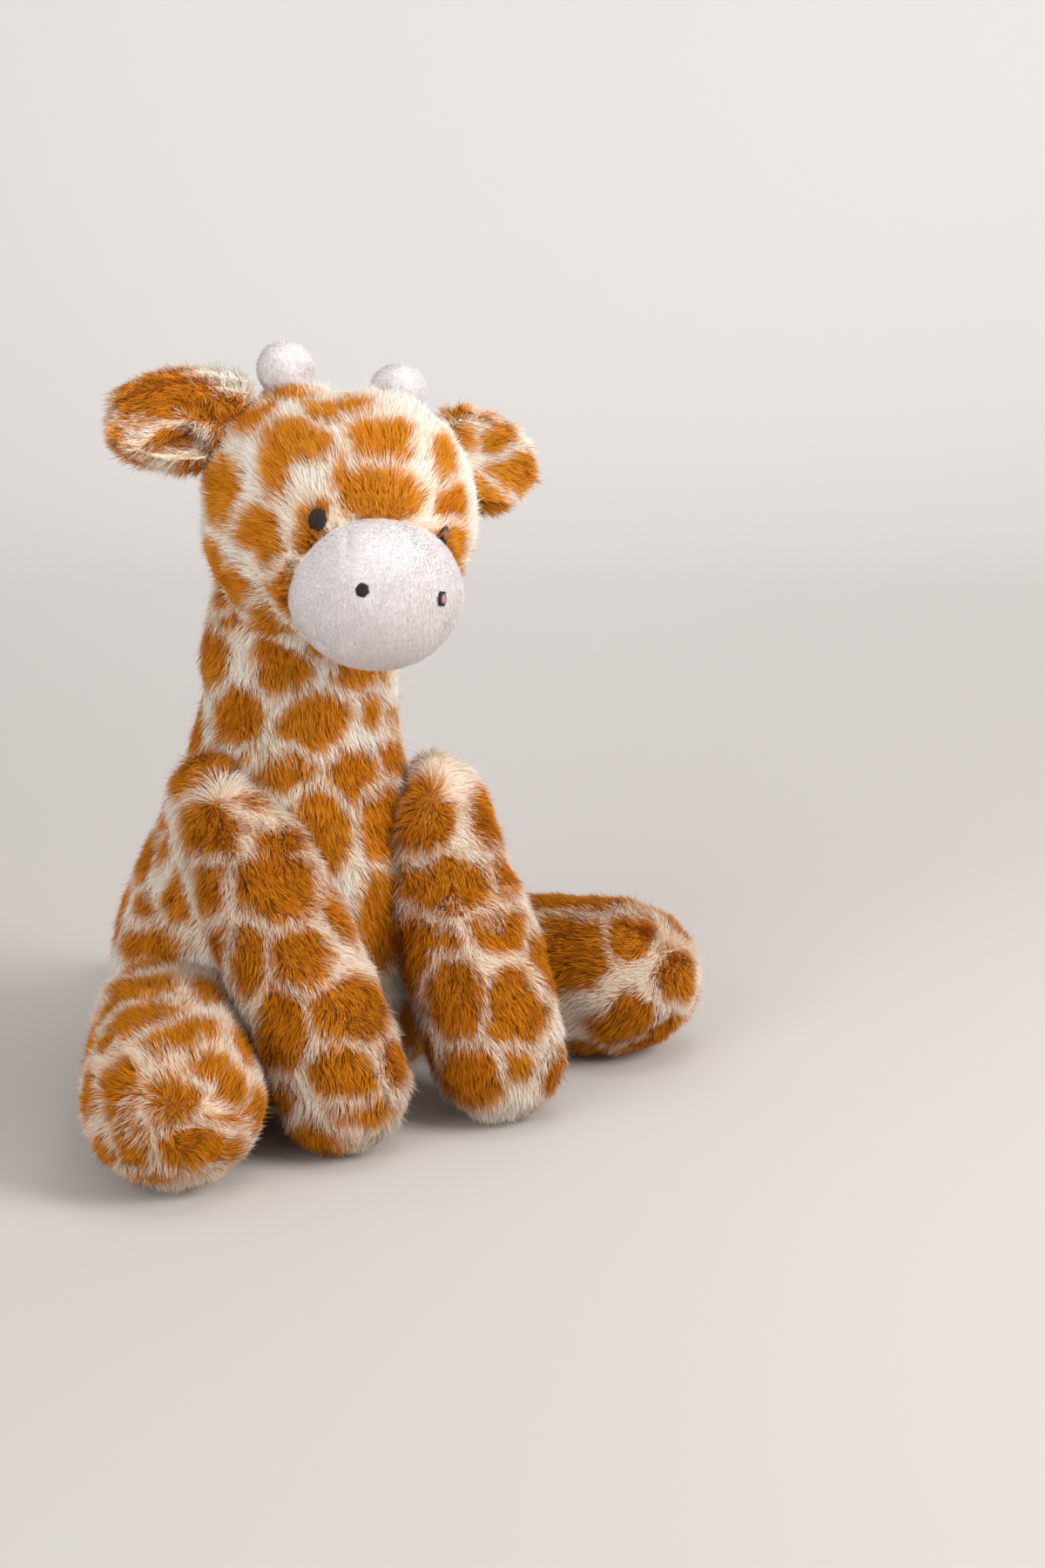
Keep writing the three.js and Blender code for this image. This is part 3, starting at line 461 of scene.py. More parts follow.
def fur(name, group, body, base, comb, length, seed, dense=1.0, lay=(50, 20), keep=None, mask=None,
        slot="plush", stages=3, fly=0.08, soft=0.8, rough=1.0, lit=0.0, deep=0.0):
    """Strands that are combed over a surface.

    lay is their rise in degrees near the root and near the tip, fly the share of loose ones, soft
    how closely their shading follows the surface, rough how untidy they are, lit how far their
    shading leans to the light, and deep how much painted shade their colours get: above zero they
    are darker and more caramel, below zero they are lighter, which is painted light.
    """
    points, faces = base
    rng = np.random.default_rng(seed)
    root, normal = sampled(points, faces, DENSITY * dense, rng, mask)
    if keep is not None:
        held = keep(root, normal)
        root, normal = root[held], normal[held]
    order = surface_order(root)
    root, normal = root[order], normal[order]
    count = len(root)
    way = tangent(comb(root, normal), normal)
    turn = 0.5 * noise(root, WAVE, seed + 1) + 0.5 * noise(root, RIPPLE, seed + 2)
    way = turned(way, normal, turn + 0.2 * rng.standard_normal(count))
    size = length(root) if callable(length) else np.full(count, float(length))
    size = size * (1 + 0.2 * noise(root, LENGTHS, seed + 3)) * rng.uniform(0.7, 1.12, count)
    rise = np.radians(lay[0] + 12 * rng.standard_normal(count) + 16 * rough * noise(root, LIFTS, seed + 4))
    settle = np.radians(lay[1] + 10 * rng.standard_normal(count) + 15 * rough * noise(root, LIFTS, seed + 6))
    loose = rng.uniform(0, 1, count) < fly
    settle[loose] += LOOSE_RISE
    size[loose] *= 1.1
    half = (size / 2)[:, None]
    middle = root + half * (way * np.cos(rise)[:, None] + normal * np.sin(rise)[:, None])
    tip = middle + half * (way * np.cos(settle)[:, None] + normal * np.sin(settle)[:, None])
    # Each strand leans to the middle strand of its lock, and of its tuft.
    for held_by, low, high, spread in ((LOCK, 0.1, 0.5, 0.3), (TUFT, 0.1 * rough, 0.4 * rough, 0.6)):
        leaders = rng.permutation(count)[: max(count // held_by, 1)]
        tree = KDTree(len(leaders))
        for index, place in enumerate(root[leaders].tolist()):
            tree.insert(place, index)
        tree.balance()
        leader = leaders[np.array([tree.find(place)[1] for place in root.tolist()])]
        share = rng.uniform(low, high, count)[:, None]
        share[loose] = 0
        off = root - root[leader]
        tip = tip * (1 - share) + (tip[leader] + off * spread) * share
        middle = middle * (1 - share / 2) + (middle[leader] + off * (1 + spread) / 2) * share / 2
        lock = leader if held_by == LOCK else lock
    for stage in (middle, tip):
        stage[:, 2] = np.maximum(stage[:, 2], FLOOR_ROOM)
    # The colour comes from where the outer half of the strand and of its lock are seen.
    shown = middle * 0.45 + tip * 0.55
    judged = shown * 0.62 + shown[lock] * 0.38
    depth = patch_field(judged, group) + 0.9 * rng.standard_normal(count)
    patch = smooth_step(-1.2, 1.2, depth)
    for x, y, z, radius, share in FROST.get(group, []):
        near = smooth_step(radius, radius * 0.5, np.linalg.norm(judged - np.array([x, y, z]), axis=1))
        frosted = rng.uniform(0, 1, count) < near * share
        patch = np.where(frosted, patch * 0.12, patch)
    # Painted shade and light by piece: above zero, deep turns a share of the strands caramel and darkens the
    # tone, painted shade on the arms and legs; below zero it lightens the tone, painted light on the head and
    # ears.
    painted_shade_share = 0.4 * max(deep, 0.0)
    patch = patch * (1 - painted_shade_share) + painted_shade_share
    tone_and_painted_light = 0.32 * rng.standard_normal(count) + 0.34 * rng.standard_normal(count)[lock] - deep
    along = unit(tip - root)
    sides = unit(np.cross(along, normal))
    sides = turned(sides, along, 0.5 * rng.standard_normal(count))
    wide = WIDTH * rng.uniform(0.75, 1.25, count) / 2
    wide[loose] *= 0.7
    facing = np.cross(sides, along)
    shade = unit(soft * normal + (1 - soft) * facing + 0.13 * rng.standard_normal((count, 3)) + 0.12 * along
                 + lit * LIGHT_WAY)
    line = (root, middle, tip) if stages == 3 else (root, tip)
    pieces = math.ceil(count / MOST_STRANDS) if stages == 3 else 1
    for piece in range(pieces):
        held = slice(count * piece // pieces, count * (piece + 1) // pieces)
        label = name if pieces == 1 else f"{name}_{piece + 1}"
        values = {
            "patch": patch[held],
            "tone_and_painted_light": np.clip(tone_and_painted_light, -1.5, 1.5)[held],
            "edge": smooth_step(4.5, 0.0, np.abs(depth))[held],
        }
        places = [place[held] for place in line]
        half_widths = (wide[held], wide[held] * 0.85)
        mesh = strand_mesh(label, places, half_widths, sides[held], shade[held], values)
        placed(label, mesh, body, slot)


# Materials

def linear(*channels):
    values = [c / 255 for c in channels]
    return tuple(v / 12.92 if v <= 0.04045 else ((v + 0.055) / 1.055) ** 2.4 for v in values) + (1.0,)


class Nodes:
    """Short ways to make and link the nodes of a material."""

    def __init__(self, name):
        self.material = bpy.data.materials.new(name)
        self.material.use_nodes = True
        self.tree = self.material.node_tree
        self.shader = self.tree.nodes["Principled BSDF"]

    def new(self, kind):
        return self.tree.nodes.new("ShaderNode" + kind)

    def link(self, value, socket):
        if isinstance(value, bpy.types.NodeSocket):
            self.tree.links.new(value, socket)
        else:
            socket.default_value = value

    def attribute(self, name):
        node = self.new("Attribute")
        node.attribute_name = name
        return node.outputs["Fac"]

    def coordinates(self):
        return self.new("TexCoord").outputs["Object"]

    def noise(self, scale, detail=2.0, stretch=None):
        node = self.new("TexNoise")
        where = self.coordinates()
        if stretch is not None:
            mapping = self.new("Mapping")
            self.link(stretch, mapping.inputs["Scale"])
            self.link(where, mapping.inputs["Vector"])
            where = mapping.outputs["Vector"]
        for value, name in ((where, "Vector"), (scale, "Scale"), (detail, "Detail")):
            self.link(value, node.inputs[name])
        return node.outputs["Fac"]

    def math(self, operation, a, b):
        node = self.new("Math")
        node.operation = operation
        self.link(a, node.inputs[0])
        self.link(b, node.inputs[1])
        return node.outputs[0]

    def ramp(self, value, low, high, to_low=0.0, to_high=1.0):
        node = self.new("MapRange")
        node.interpolation_type = "SMOOTHSTEP"
        names = ("Value", "From Min", "From Max", "To Min", "To Max")
        for given, name in zip((value, low, high, to_low, to_high), names):
            self.link(given, node.inputs[name])
        return node.outputs[0]

    def mix(self, share, a, b, blend="MIX"):
        node = self.new("Mix")
        node.data_type = "RGBA"
        node.blend_type = blend
        for value, index in ((share, 0), (a, 6), (b, 7)):
            self.link(value, node.inputs[index])
        return node.outputs[2]

    def tinted(self, colour, source, low, high, share, tint, blend="MIX"):
        """The colour with up to that share of a tint, where the source goes from low to high."""
        return self.mix(self.ramp(source, low, high, 0.0, share), colour, linear(*tint), blend)

    def surface(self, colour, roughness, constants):
        """Sets the shader's colour and roughness, and the constants on its own sockets."""
        self.link(colour, self.shader.inputs["Base Color"])
        self.link(roughness, self.shader.inputs["Roughness"])
        for name, value in constants.items():
            self.shader.inputs[name].default_value = value

    def let_through(self, colour, share):
        """Lets a share of the light pass through the thin strands."""
        through, both = self.new("BsdfTranslucent"), self.new("MixShader")
        both.inputs[0].default_value = share
        self.link(colour, through.inputs["Color"])
        self.link(self.shader.outputs[0], both.inputs[1])
        self.link(through.outputs[0], both.inputs[2])
        self.link(both.outputs[0], self.tree.nodes["Material Output"].inputs["Surface"])

    def bump(self, height, strength, distance):
        node = self.new("Bump")
        node.inputs["Strength"].default_value = strength
        node.inputs["Distance"].default_value = distance
        self.link(height, node.inputs["Height"])
        self.link(node.outputs[0], self.shader.inputs["Normal"])


def fur_material():
    n = Nodes("plush")
    patch, tone_and_painted_light, way, edge = (n.attribute(name) for name in ("patch", "tone_and_painted_light", "way", "edge"))
    along = n.ramp(way, 0.0, 0.8)
    cream = n.mix(along, linear(255, 240, 214), linear(255, 254, 249))
    caramel = n.mix(along, linear(178, 100, 8), linear(234, 152, 28))
    # These light and dark tints carry the random tone, and also the painted light and shade that deep adds to
    # whole pieces.
    caramel = n.tinted(caramel, tone_and_painted_light, 0.0, 1.1, 0.55, (250, 188, 80))
    caramel = n.tinted(caramel, tone_and_painted_light, 0.0, -1.1, 0.55, (146, 78, 8))
    caramel = n.tinted(caramel, n.noise(45.0, 3.0), 0.35, 0.7, 0.18, (196, 124, 56), "SOFT_LIGHT")
    cream = n.tinted(cream, tone_and_painted_light, 0.0, -1.1, 0.4, (250, 234, 208))
    cream = n.mix(n.math("MULTIPLY", edge, 0.24), cream, linear(248, 204, 140))
    colour = n.mix(patch, cream, caramel)
    n.surface(colour, n.ramp(n.noise(900.0), 0.3, 0.7, 0.6, 0.85), {
        "Specular IOR Level": 0.07,
        "Sheen Weight": 0.05,
        "Sheen Roughness": 0.4,
        "Sheen Tint": linear(255, 226, 180),
    })
    n.let_through(colour, 0.33)
    return n.material


def ground_material():
    """The knitted ground under the fur, seen only between strands."""
    n = Nodes("plush_ground")
    weave = n.noise(1500.0, 3.0)
    cream = n.mix(weave, linear(248, 228, 198), linear(255, 246, 230))
    caramel = n.mix(weave, linear(160, 92, 18), linear(196, 122, 36))
    n.surface(n.mix(n.attribute("patch"), cream, caramel), n.ramp(weave, 0.3, 0.7, 0.8, 0.98), {})
    n.bump(weave, 0.6, 0.0006)
    return n.material


def velour_material(name, strands):
    n = Nodes(name)
    grain = n.noise(520.0, 3.0, (1.0, 1.0, 2.4))
    colour = n.mix(n.ramp(grain, 0.3, 0.72), linear(241, 234, 233), linear(251, 248, 247))
    colour = n.tinted(colour, n.noise(38.0), 0.35, 0.7, 0.5, (244, 234, 234))
    if strands:
        tone_and_painted_light = n.attribute("tone_and_painted_light")
        colour = n.tinted(colour, tone_and_painted_light, -0.1, -1.2, 0.3, (236, 226, 225))
        colour = n.tinted(colour, tone_and_painted_light, 0.1, 1.2, 0.35, (250, 248, 247))
        n.let_through(colour, 0.28)
    else:
        n.bump(n.math("ADD", grain, n.noise(1400.0)), 0.3, 0.0004)
    n.surface(colour, n.ramp(grain, 0.3, 0.7, 0.7, 0.95), {
        "Sheen Weight": 0.25, "Sheen Roughness": 0.5, "Specular IOR Level": 0.15,
    })
    return n.material


def thread_material():
    n = Nodes("thread")
    stitch = n.attribute("stitch")
    fine = n.noise(2400.0, 2.0, (1.0, 1.0, 0.3))
    # Painted shade and light: the thread is darkest in the grooves between its ridges and at the sunken rim,
    # and lighter on the crests.
    colour = n.mix(n.ramp(stitch, 0.1, 0.9), linear(20, 13, 11), linear(44, 30, 26))
    colour = n.tinted(colour, fine, 0.4, 0.7, 0.4, (74, 54, 48))
    # Painted highlight: a pale pink patch over the middle of some stitches, standing in for a glint.
    colour = n.mix(n.attribute("painted_highlight"), colour, linear(196, 160, 156))
    n.surface(colour, n.ramp(fine, 0.3, 0.7, 0.5, 0.75), {"Specular IOR Level": 0.3})
    n.bump(n.math("ADD", stitch, n.math("MULTIPLY", fine, 0.3)), 0.5, 0.0003)
    return n.material


def fibre_material():
    n = Nodes("fibre")
    web = n.noise(300.0, 4.0)
    colour = n.mix(web, linear(214, 214, 210), linear(246, 246, 244))
    n.surface(colour, n.ramp(web, 0.3, 0.7, 0.85, 1.0), {})
    n.bump(web, 0.6, 0.001)
    return n.material


materials = {
    "plush": fur_material(),
    "ground": ground_material(),
    "short_pile": velour_material("short_pile", True),
    "velour": velour_material("short_pile_ground", False),
    "thread": thread_material(),
    "fibre": fibre_material(),
}


# Covers

FUR_ROOM = 3.8
HORN_NEST = np.array([51.0, -37.0, 295.0])
CROWN = np.array([6.0, -62.0, 303.0])
# For each cover: its body, the CAD nodes that it replaces, the size of its voxels, the rounds of
# smoothing, and the seed of its scattered patches.
COVERS = {
    "torso": ("torso", ["torso_skin", "torso_filling", "seat_bean_bag"], 2.4, 12, 40),
    "head": ("head", ["head_skin", "head_filling"], 1.8, 8, 41),
    "ear_right": ("ear_right", ["ear_right_front", "ear_right_back"], 1.1, 5, 46),
    "ear_left": ("ear_left", ["ear_left_front", "ear_left_back"], 1.1, 5, 47),
    "tail": ("tail", ["tail"], 1.2, 6, 48),
    "tail_tuft": ("tail", ["tail_tuft"], 1.4, 6, 49),
}
ARMS_AND_LEGS = ("arm_right", "arm_left", "leg_right", "leg_left")
for seed, limb in enumerate(ARMS_AND_LEGS, 42):
    COVERS[limb] = (limb, [f"{limb}_{part}" for part in ("skin", "filling", "bean_bag")], 2.2, 14, seed)


def cover(name, body, shape, nodes, material, group=None):
    mesh = mesh_of(name, *shape)
    mesh.shade_smooth()
    if group is not None:
        set_values(mesh, "patch", smooth_step(-1, 1, patch_field(shape[0], group)))
    made = placed(name, mesh, body, material, nodes)


def drawn_in(points, faces, depth, others=(), least=0.0):
    """The surface moved inward, but less where it faces a surface that it is sewn to."""
    depth = np.full(len(points), 1.0) * depth
    for tree in others:
        depth *= least + (1 - least) * smooth_step(1.0, 9.0, distances(tree, points, 12.0))
    return points - vertex_normals(points, faces) * depth[:, None]


def head_space(points):
    return np.array([HEAD_TURNING @ Vector(p) for p in np.atleast_2d(points)]) + HEAD


MUZZLE_AT = head_space(MUZZLE)[0]


def muzzle_fullness(points):
    """How much of the egg's size the muzzle has each way: less at its upper corner on the toy's right."""
    way = unit(points - MUZZLE_AT)
    across, rise = way @ RIGHT, way @ UP
    side = smooth_step(-0.15, -0.85, across)
    low = smooth_step(-0.2, -0.75, rise)
    return 1 - 0.035 * side - 0.06 * side * smooth_step(-0.35, 0.35, rise) + 0.02 * side * low


def past_egg(points, fullness=1):
    """About how far each point is from the egg of the muzzle, below zero inside it."""
    in_head = (points - HEAD) @ np.array(HEAD_TURNING.to_matrix())
    share = np.sqrt((((in_head - MUZZLE) / MUZZLE_HALF) ** 2).sum(axis=1))
    return (share / fullness - 1) * MUZZLE_HALF.mean()


def past_muzzle(points):
    return past_egg(points, muzzle_fullness(points))


def head_base(points, faces):
    """The head's cover, which comes up to the surface along the muzzle's seam, so that the fur meets it."""
    past = past_muzzle(points)
    depth = FUR_ROOM - 2.9 * smooth_step(0.3, 1.6, past) * smooth_step(10.0, 2.5, past)
    on_bump = smooth_step(1.5, 0.5, past_egg(points))
    depth = depth * (1 - on_bump) + (np.maximum(past, 0) + 5.0) * on_bump
    normals = vertex_normals(points, faces)
    aside = (points - CROWN) @ RIGHT / 16.5
    crown = 5.6 * np.exp(-(aside ** 2)) * smooth_step(0.25, 0.95, normals @ UP)
    cheek = 1.6 * smooth_step(0.3, 0.9, -(normals @ RIGHT))
    off = points - HORN_NEST
    nest = smooth_step(26.0, 13.0, np.linalg.norm(off, axis=1)) * smooth_step(-6.0, 2.0, off @ TOWARD)
    sewn_on = [trees[name] for name in ("torso", "ear_right", "ear_left", "ossicone_right", "ossicone_left")]
    return drawn_in(points - (crown + 4.0 * nest)[:, None] * UP, faces, depth - cheek, sewn_on), faces


def limb_base(limb, points, faces):
    """A limb's cover, evened out where it faces the torso. The tops of the arms are fuller."""
    fuller = 1.0 if limb.startswith("leg") else 6.0 * smooth_step(98.0, 128.0, points[:, 2])
    if limb == "arm_right":
        fuller = fuller * smooth_step(-0.75, -0.1, vertex_normals(points, faces) @ RIGHT)
    points = drawn_in(points, faces, FUR_ROOM - fuller, [trees["torso"]], 0.5)
    near = smooth_step(14.0, 4.0, distances(trees["torso"], points, 16.0))[:, None]
    points = relaxed(points, faces, 4)
    return points + near * (relaxed(points, faces, 9, swell=0.2) - points), faces


def ear_base(points, faces, level, squeeze):
    """An ear's cover, less deep under the level of a point."""
    below = np.array(level, float) @ UP - points @ UP
    points = points + UP * (np.maximum(below, 0) * (1 - squeeze))[:, None]
    return drawn_in(points, faces, 1.9), faces


raw = {}
for group, (_, nodes, voxel, rounds, _) in COVERS.items():
    raw[group] = fused([*nodes, "muzzle_skin"] if group == "head" else nodes, voxel, rounds)
for side in ("right", "left"):
    raw[f"ossicone_{side}"] = fused([f"ossicone_{side}_skin", f"ossicone_{side}_filling"], 1.0, 4)
trees = {name: tree_of(*shape) for name, shape in raw.items()}

points, faces = raw["torso"]
facing = -(vertex_normals(points, faces) @ RIGHT)
neck = smooth_step(168.0, 185.0, points[:, 2]) * smooth_step(0.1, 0.8, facing)
base = {
    "torso": (drawn_in(points, faces, FUR_ROOM - 3.4 * neck, [trees["head"]]), faces),
    "head": head_base(*raw["head"]),
    "ear_right": ear_base(*raw["ear_right"], (-50, -28, 288), 0.8),
    "ear_left": ear_base(*raw["ear_left"], (88, -36, 266), 0.76),
    "tail": (drawn_in(*raw["tail"], 1.5), raw["tail"][1]),
    "tail_tuft": (drawn_in(*raw["tail_tuft"], 3.0), raw["tail_tuft"][1]),
}
for limb in ARMS_AND_LEGS:
    base[limb] = limb_base(limb, *raw[limb])


# The hollow of the near ear

CREASE = np.array([(-63, -24, 279), (-53, -26, 285), (-44, -28, 289), (-35, -30, 284), (-29, -32, 278)], float)
CREASE_SINK, CREASE_REACH, CREASE_ROLL = 6.0, 15.0, 3.2


def creased(points, faces):
    """Sinks the front of the ear under a line across the view, and rolls its upper edge over it."""
    across, line = points @ RIGHT, CREASE @ RIGHT
    below = np.interp(across, line, CREASE @ UP) - points @ UP
    ends = smooth_step(line[0] - 3, line[0] + 4, across) * smooth_step(line[-1] + 3, line[-1] - 4, across)
    front = smooth_step(-0.1, 0.35, vertex_normals(points, faces) @ TOWARD) * ends
    hollow = smooth_step(-0.6, 1.6, below) * smooth_step(CREASE_REACH, CREASE_REACH * 0.35, below)
    roll = smooth_step(-9.0, -2.0, below) * smooth_step(0.8, -0.8, below)
    move = front * (CREASE_ROLL * roll - CREASE_SINK * hollow)
    return points + move[:, None] * TOWARD, faces


base["ear_right"] = creased(*base["ear_right"])

for group, (body, nodes, _, _, seed) in COVERS.items():
    scatter_patches(base[group][0], group, seed)
    cover(f"{group}_cover", body, base[group], nodes, "ground", group)

# The neck's filling, a rounded plug inside the cover.
points, faces = fused(["neck_stuffing"], 1.6, 6)
points = drawn_in(points, faces, 0.4)
cover("neck_core", "neck", (points, faces), ["neck_stuffing"], "fibre")


# Muzzle, horns and stitches

SEAMS = [
    [(-6.0, -101.0, 255.5), (-9.0, -107.5, 251.0), (-11.3, -112.3, 246.9), (-9.5, -120.3, 238.6)],
    [(-22.5, -92.0, 211.5), (-18.5, -103.8, 210.6), (-13.2, -115.5, 214.4)],
]


def seam_distance(points, line):
    line = np.array(line)
    least = np.full(len(points), 1e9)
    for start, end in zip(line[:-1], line[1:]):
        span = end - start
        way = np.clip(((points - start) @ span) / (span @ span), 0, 1)
        least = np.minimum(least, np.linalg.norm(points - (start + way[:, None] * span), axis=1))
    return least


def between_rings(first, side, across):
    """The two triangles at one side between a ring of vertices and the next ring."""
    a, b = first + side, first + (side + 1) % across
    return [(a, b, b + across), (a, b + across, a + across)]


def muzzle_base():
    """The egg of the muzzle, as rings from pole to pole, with its seams pressed in."""
    across, up_down = 168, 110
    rows = []
    for ring in range(1, up_down):
        tilt = math.pi * ring / up_down
        turn = 2 * math.pi * np.arange(across) / across
        rows.append(np.stack([
            np.sin(tilt) * np.cos(turn), -np.full(across, math.cos(tilt)), np.sin(tilt) * np.sin(turn)
        ], axis=1))
    points = np.concatenate([[[0, -1, 0]], *rows, [[0, 1, 0]]])
    faces = []
    for ring in range(up_down - 2):
        for side in range(across):
            faces += between_rings(1 + ring * across, side, across)
    last = len(points) - 1
    for side in range(across):
        after = (side + 1) % across
        faces += [(0, 1 + after, 1 + side), (last, last - across + side, last - across + after)]
    faces = np.array(faces)[:, ::-1]
    points = head_space(points * (MUZZLE_HALF - 0.9) + MUZZLE)
    points = MUZZLE_AT + (points - MUZZLE_AT) * muzzle_fullness(points)[:, None]
    normals = vertex_normals(points, faces)
    dent = np.zeros(len(points))
    for line, depth in zip(SEAMS, (0.7, 0.8)):
        away = seam_distance(points, line)
        fade = 1 - 0.75 * smooth_step(6.0, 20.0, np.linalg.norm(points - np.array(line[0]), axis=1))
        ragged = fade * (1 + 0.6 * noise(points, 4.0, 73))
        groove, slope = np.exp(-((away / 0.75) ** 2)), np.exp(-((away / 3.2) ** 2))
        dent += ragged * (depth * groove + depth * 0.7 * slope)
    dent += 0.45 * noise(points, 16.0, 71) + 0.12 * noise(points, 6.0, 72)
    return points - normals * dent[:, None], faces


muzzle = muzzle_base()
cover("muzzle_cover", "head", muzzle, ["muzzle_skin"], "velour")


def horn_base(side, lower, lean, nearer):
    """A stub that ends in a ball, turned around the horn's own axis."""
    points = raw[f"ossicone_{side}"][0]
    axis = unit(points.mean(axis=0) - HEAD)
    along = (points - HEAD) @ axis
    low, high = along.min(), along.max() - lower
    axis = unit(axis + lean * RIGHT)
    ball, stub, across, up_down = 10.9, 9.2, 96, 70
    middle = high - ball + 0.3
    first = unit(np.cross(axis, np.array([0.0, 1.0, 0.0])))
    second = np.cross(axis, first)
    rows = []
    for step in range(up_down + 1):
        level = low + (high + 0.3 - low) * (1 - (1 - step / up_down) ** 1.6)
        swell = math.sqrt(max(ball ** 2 - (level - middle) ** 2, 0)) if level > middle - ball else 0
        waist = stub if level < middle else 0
        blend = math.log(math.exp(swell * 1.4) + math.exp(waist * 1.4)) / 1.4 if waist else swell
        rows.append((level, max(blend, 0.05)))
    turns = 2 * math.pi * np.arange(across) / across
    circle = np.outer(np.cos(turns), first) + np.outer(np.sin(turns), second)
    made = [HEAD + axis * rows[0][0]]
    for level, radius in rows:
        made += list(HEAD + axis * level + radius * circle)
    made.append(HEAD + axis * rows[-1][0])
    made = np.array(made)
    faces = []
    last = len(made) - 1
    for k in range(across):
        after = (k + 1) % across
        faces.append((0, 1 + after, 1 + k))
        for ring in range(up_down):
            faces += between_rings(1 + ring * across, k, across)
        faces.append((last - across + k, last - across + after, last))
    faces = np.array(faces)
    lumps = 0.3 * noise(made, 8.0, 81) + 0.1 * noise(made, 3.0, 82)
    return made + vertex_normals(made, faces) * lumps[:, None] + nearer * TOWARD, faces


horns = {}
for side, lower, lean, nearer in (("right", 0.0, -0.035, 0.0), ("left", 5.6, -0.05, 3.5)):
    horns[side] = horn_base(side, lower, lean, nearer)
    cover(f"ossicone_{side}_cover", "head", horns[side],
          [f"ossicone_{side}_skin", f"ossicone_{side}_filling"], "velour")


def stitched(name, node, half_width, half_height, sink, lines, seed, turn_out=0.0, painted_highlight=0.0, shift=0.0):
    """A domed oval of satin stitch over the CAD disc, with a ridge for each thread, and a share of pale pink
    over its middle that is a painted highlight.
    """
    low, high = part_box(node)
    centre = np.array((low + high) / 2) / MM
    middle = MUZZLE_AT if node.startswith("nostril") else HEAD
    out = unit(centre - middle + shift * RIGHT)
    centre = middle + out * np.linalg.norm(centre - middle)
    out = turned(out[None], np.array([[0.0, 0.0, 1.0]]), np.array([math.radians(turn_out)]))[0]
    rng = np.random.default_rng(seed)
    tall = unit(np.cross(np.cross(out, np.array([0.19, 0.0, 0.98])), out))
    wide = np.cross(tall, out)
    rings, sides, flat = 18, 84, 0.84
    turn = 2 * math.pi * np.arange(sides) / sides
    ragged = 1 + 0.035 * rng.standard_normal(sides)
    rim = (1 + 0.045 * np.cos(6 * turn + 0.5)) * ragged
    points, faces, stitch = [], [], []
    for share in np.arange(rings + 1) / rings:
        radius = min(share / flat, 1.0)
        edge = radius * (1 + (rim - 1) * radius ** 3)
        x, y = np.cos(turn) * half_width * edge, np.sin(turn) * half_height * edge
        ridge = 0.5 + 0.5 * np.cos(lines * math.pi * x / half_width)
        dome = 0.8 * math.sqrt(max(1 - (0.95 * radius) ** 2, 0)) + 0.2 * ridge * (1 - radius ** 6)
        if share > flat:
            ridge = np.zeros(sides)
            dome = ridge + 0.25 - (sink + 3.0) * (share - flat) / (1 - flat)
        stitch += list(ridge)
        points += list(centre + np.outer(x, wide) + np.outer(y, tall) + np.outer(dome - sink, out))
    for ring in range(rings):
        for side in range(sides):
            faces += between_rings(ring * sides, side, sides)
    points = np.array(points)
    mesh = mesh_of(name, points, np.array(faces)[:, ::-1])
    mesh.shade_smooth()
    reach = np.linalg.norm(points - centre, axis=1) / min(half_width, half_height)
    set_values(mesh, "stitch", stitch)
    set_values(mesh, "painted_highlight", painted_highlight * smooth_step(0.95, 0.5, reach))
    placed(name, mesh, "head", "thread", [node])
    return centre


# The left eye and the left nostril get a painted highlight over their middle.
EYE_RIGHT = stitched("eye_right_stitches", "eye_right", 3.6, 4.3, 0.9, 9, 1, shift=-1.7)
EYE_LEFT = stitched("eye_left_stitches", "eye_left", 3.2, 4.0, 1.5, 9, 2, turn_out=18.0, painted_highlight=0.4, shift=-1.6)
NOSTRILS = [
    stitched("nostril_right_stitches", "nostril_right", 2.6, 2.8, 0.3, 8, 3),
    stitched("nostril_left_stitches", "nostril_left", 2.6, 2.9, 0.3, 8, 4, turn_out=8.0, painted_highlight=0.8),
]


# Combing

FLOOR_ZONE = 5.5
UNDER, UNDER_ZONE, UNDER_SHARE = -0.92, 8.0, 0.35


def toward(direction):
    return lambda points, normals: np.tile(np.array(direction, float), (len(points), 1))


def head_comb(points, normals):
    low = smooth_step(232.0, 205.0, points[:, 2])[:, None]
    behind = smooth_step(0.4, 0.9, normals @ unit(HEAD - MUZZLE_AT))[:, None]
    return unit(points - MUZZLE_AT) + (0.1 + 0.7 * low + 0.8 * behind) * np.array([0, 0, -1])


def limb_comb(limb, start, end, swirl, whorl):
    """Fur runs down an arm or up a leg, and all ways from a whorl."""
    start, end, whorl = (np.array(place, float) for place in (start, end, whorl))
    way = unit(end - start)
    leg = limb.startswith("leg")
    reach, turning, messy = (34.0, 1.0, 1.5) if leg else (24.0, 0.3, 0.6)

    def comb(points, normals):
        facing = np.clip(normals @ way, 0, 1)[:, None]
        ring = unit(np.cross(way, points - start))
        flow = way + np.array([0, 0, -0.25]) + 2.0 * facing * (np.array([0, 0, -0.6]) + swirl * ring)
        if leg:
            flow = -way + 0.25 * swirl * ring
        out = points - whorl
        near = np.exp(-(np.linalg.norm(out, axis=1) / reach) ** 2)[:, None]
        swirled = 0.9 * unit(out) + turning * ring + messy * noise_vectors(points, 12.0, 61)
        return flow * (1 - near) + swirled * near

    return comb


def ear_comb(side):
    """Fur runs out to the ear's rim from its root, and from its middle at the front."""
    joint = next(joint for joint in frame["joints"] if joint["name"] == f"ear_{side}_flap")
    middle = raw[f"ear_{side}"][0].mean(axis=0)
    way = unit(middle - np.array(joint["pos_m"]) / MM)
    middle = middle - 4 * way

    def comb(points, normals):
        out = points - middle
        return way + unit(out - TOWARD * (out @ TOWARD)[:, None])

    return comb


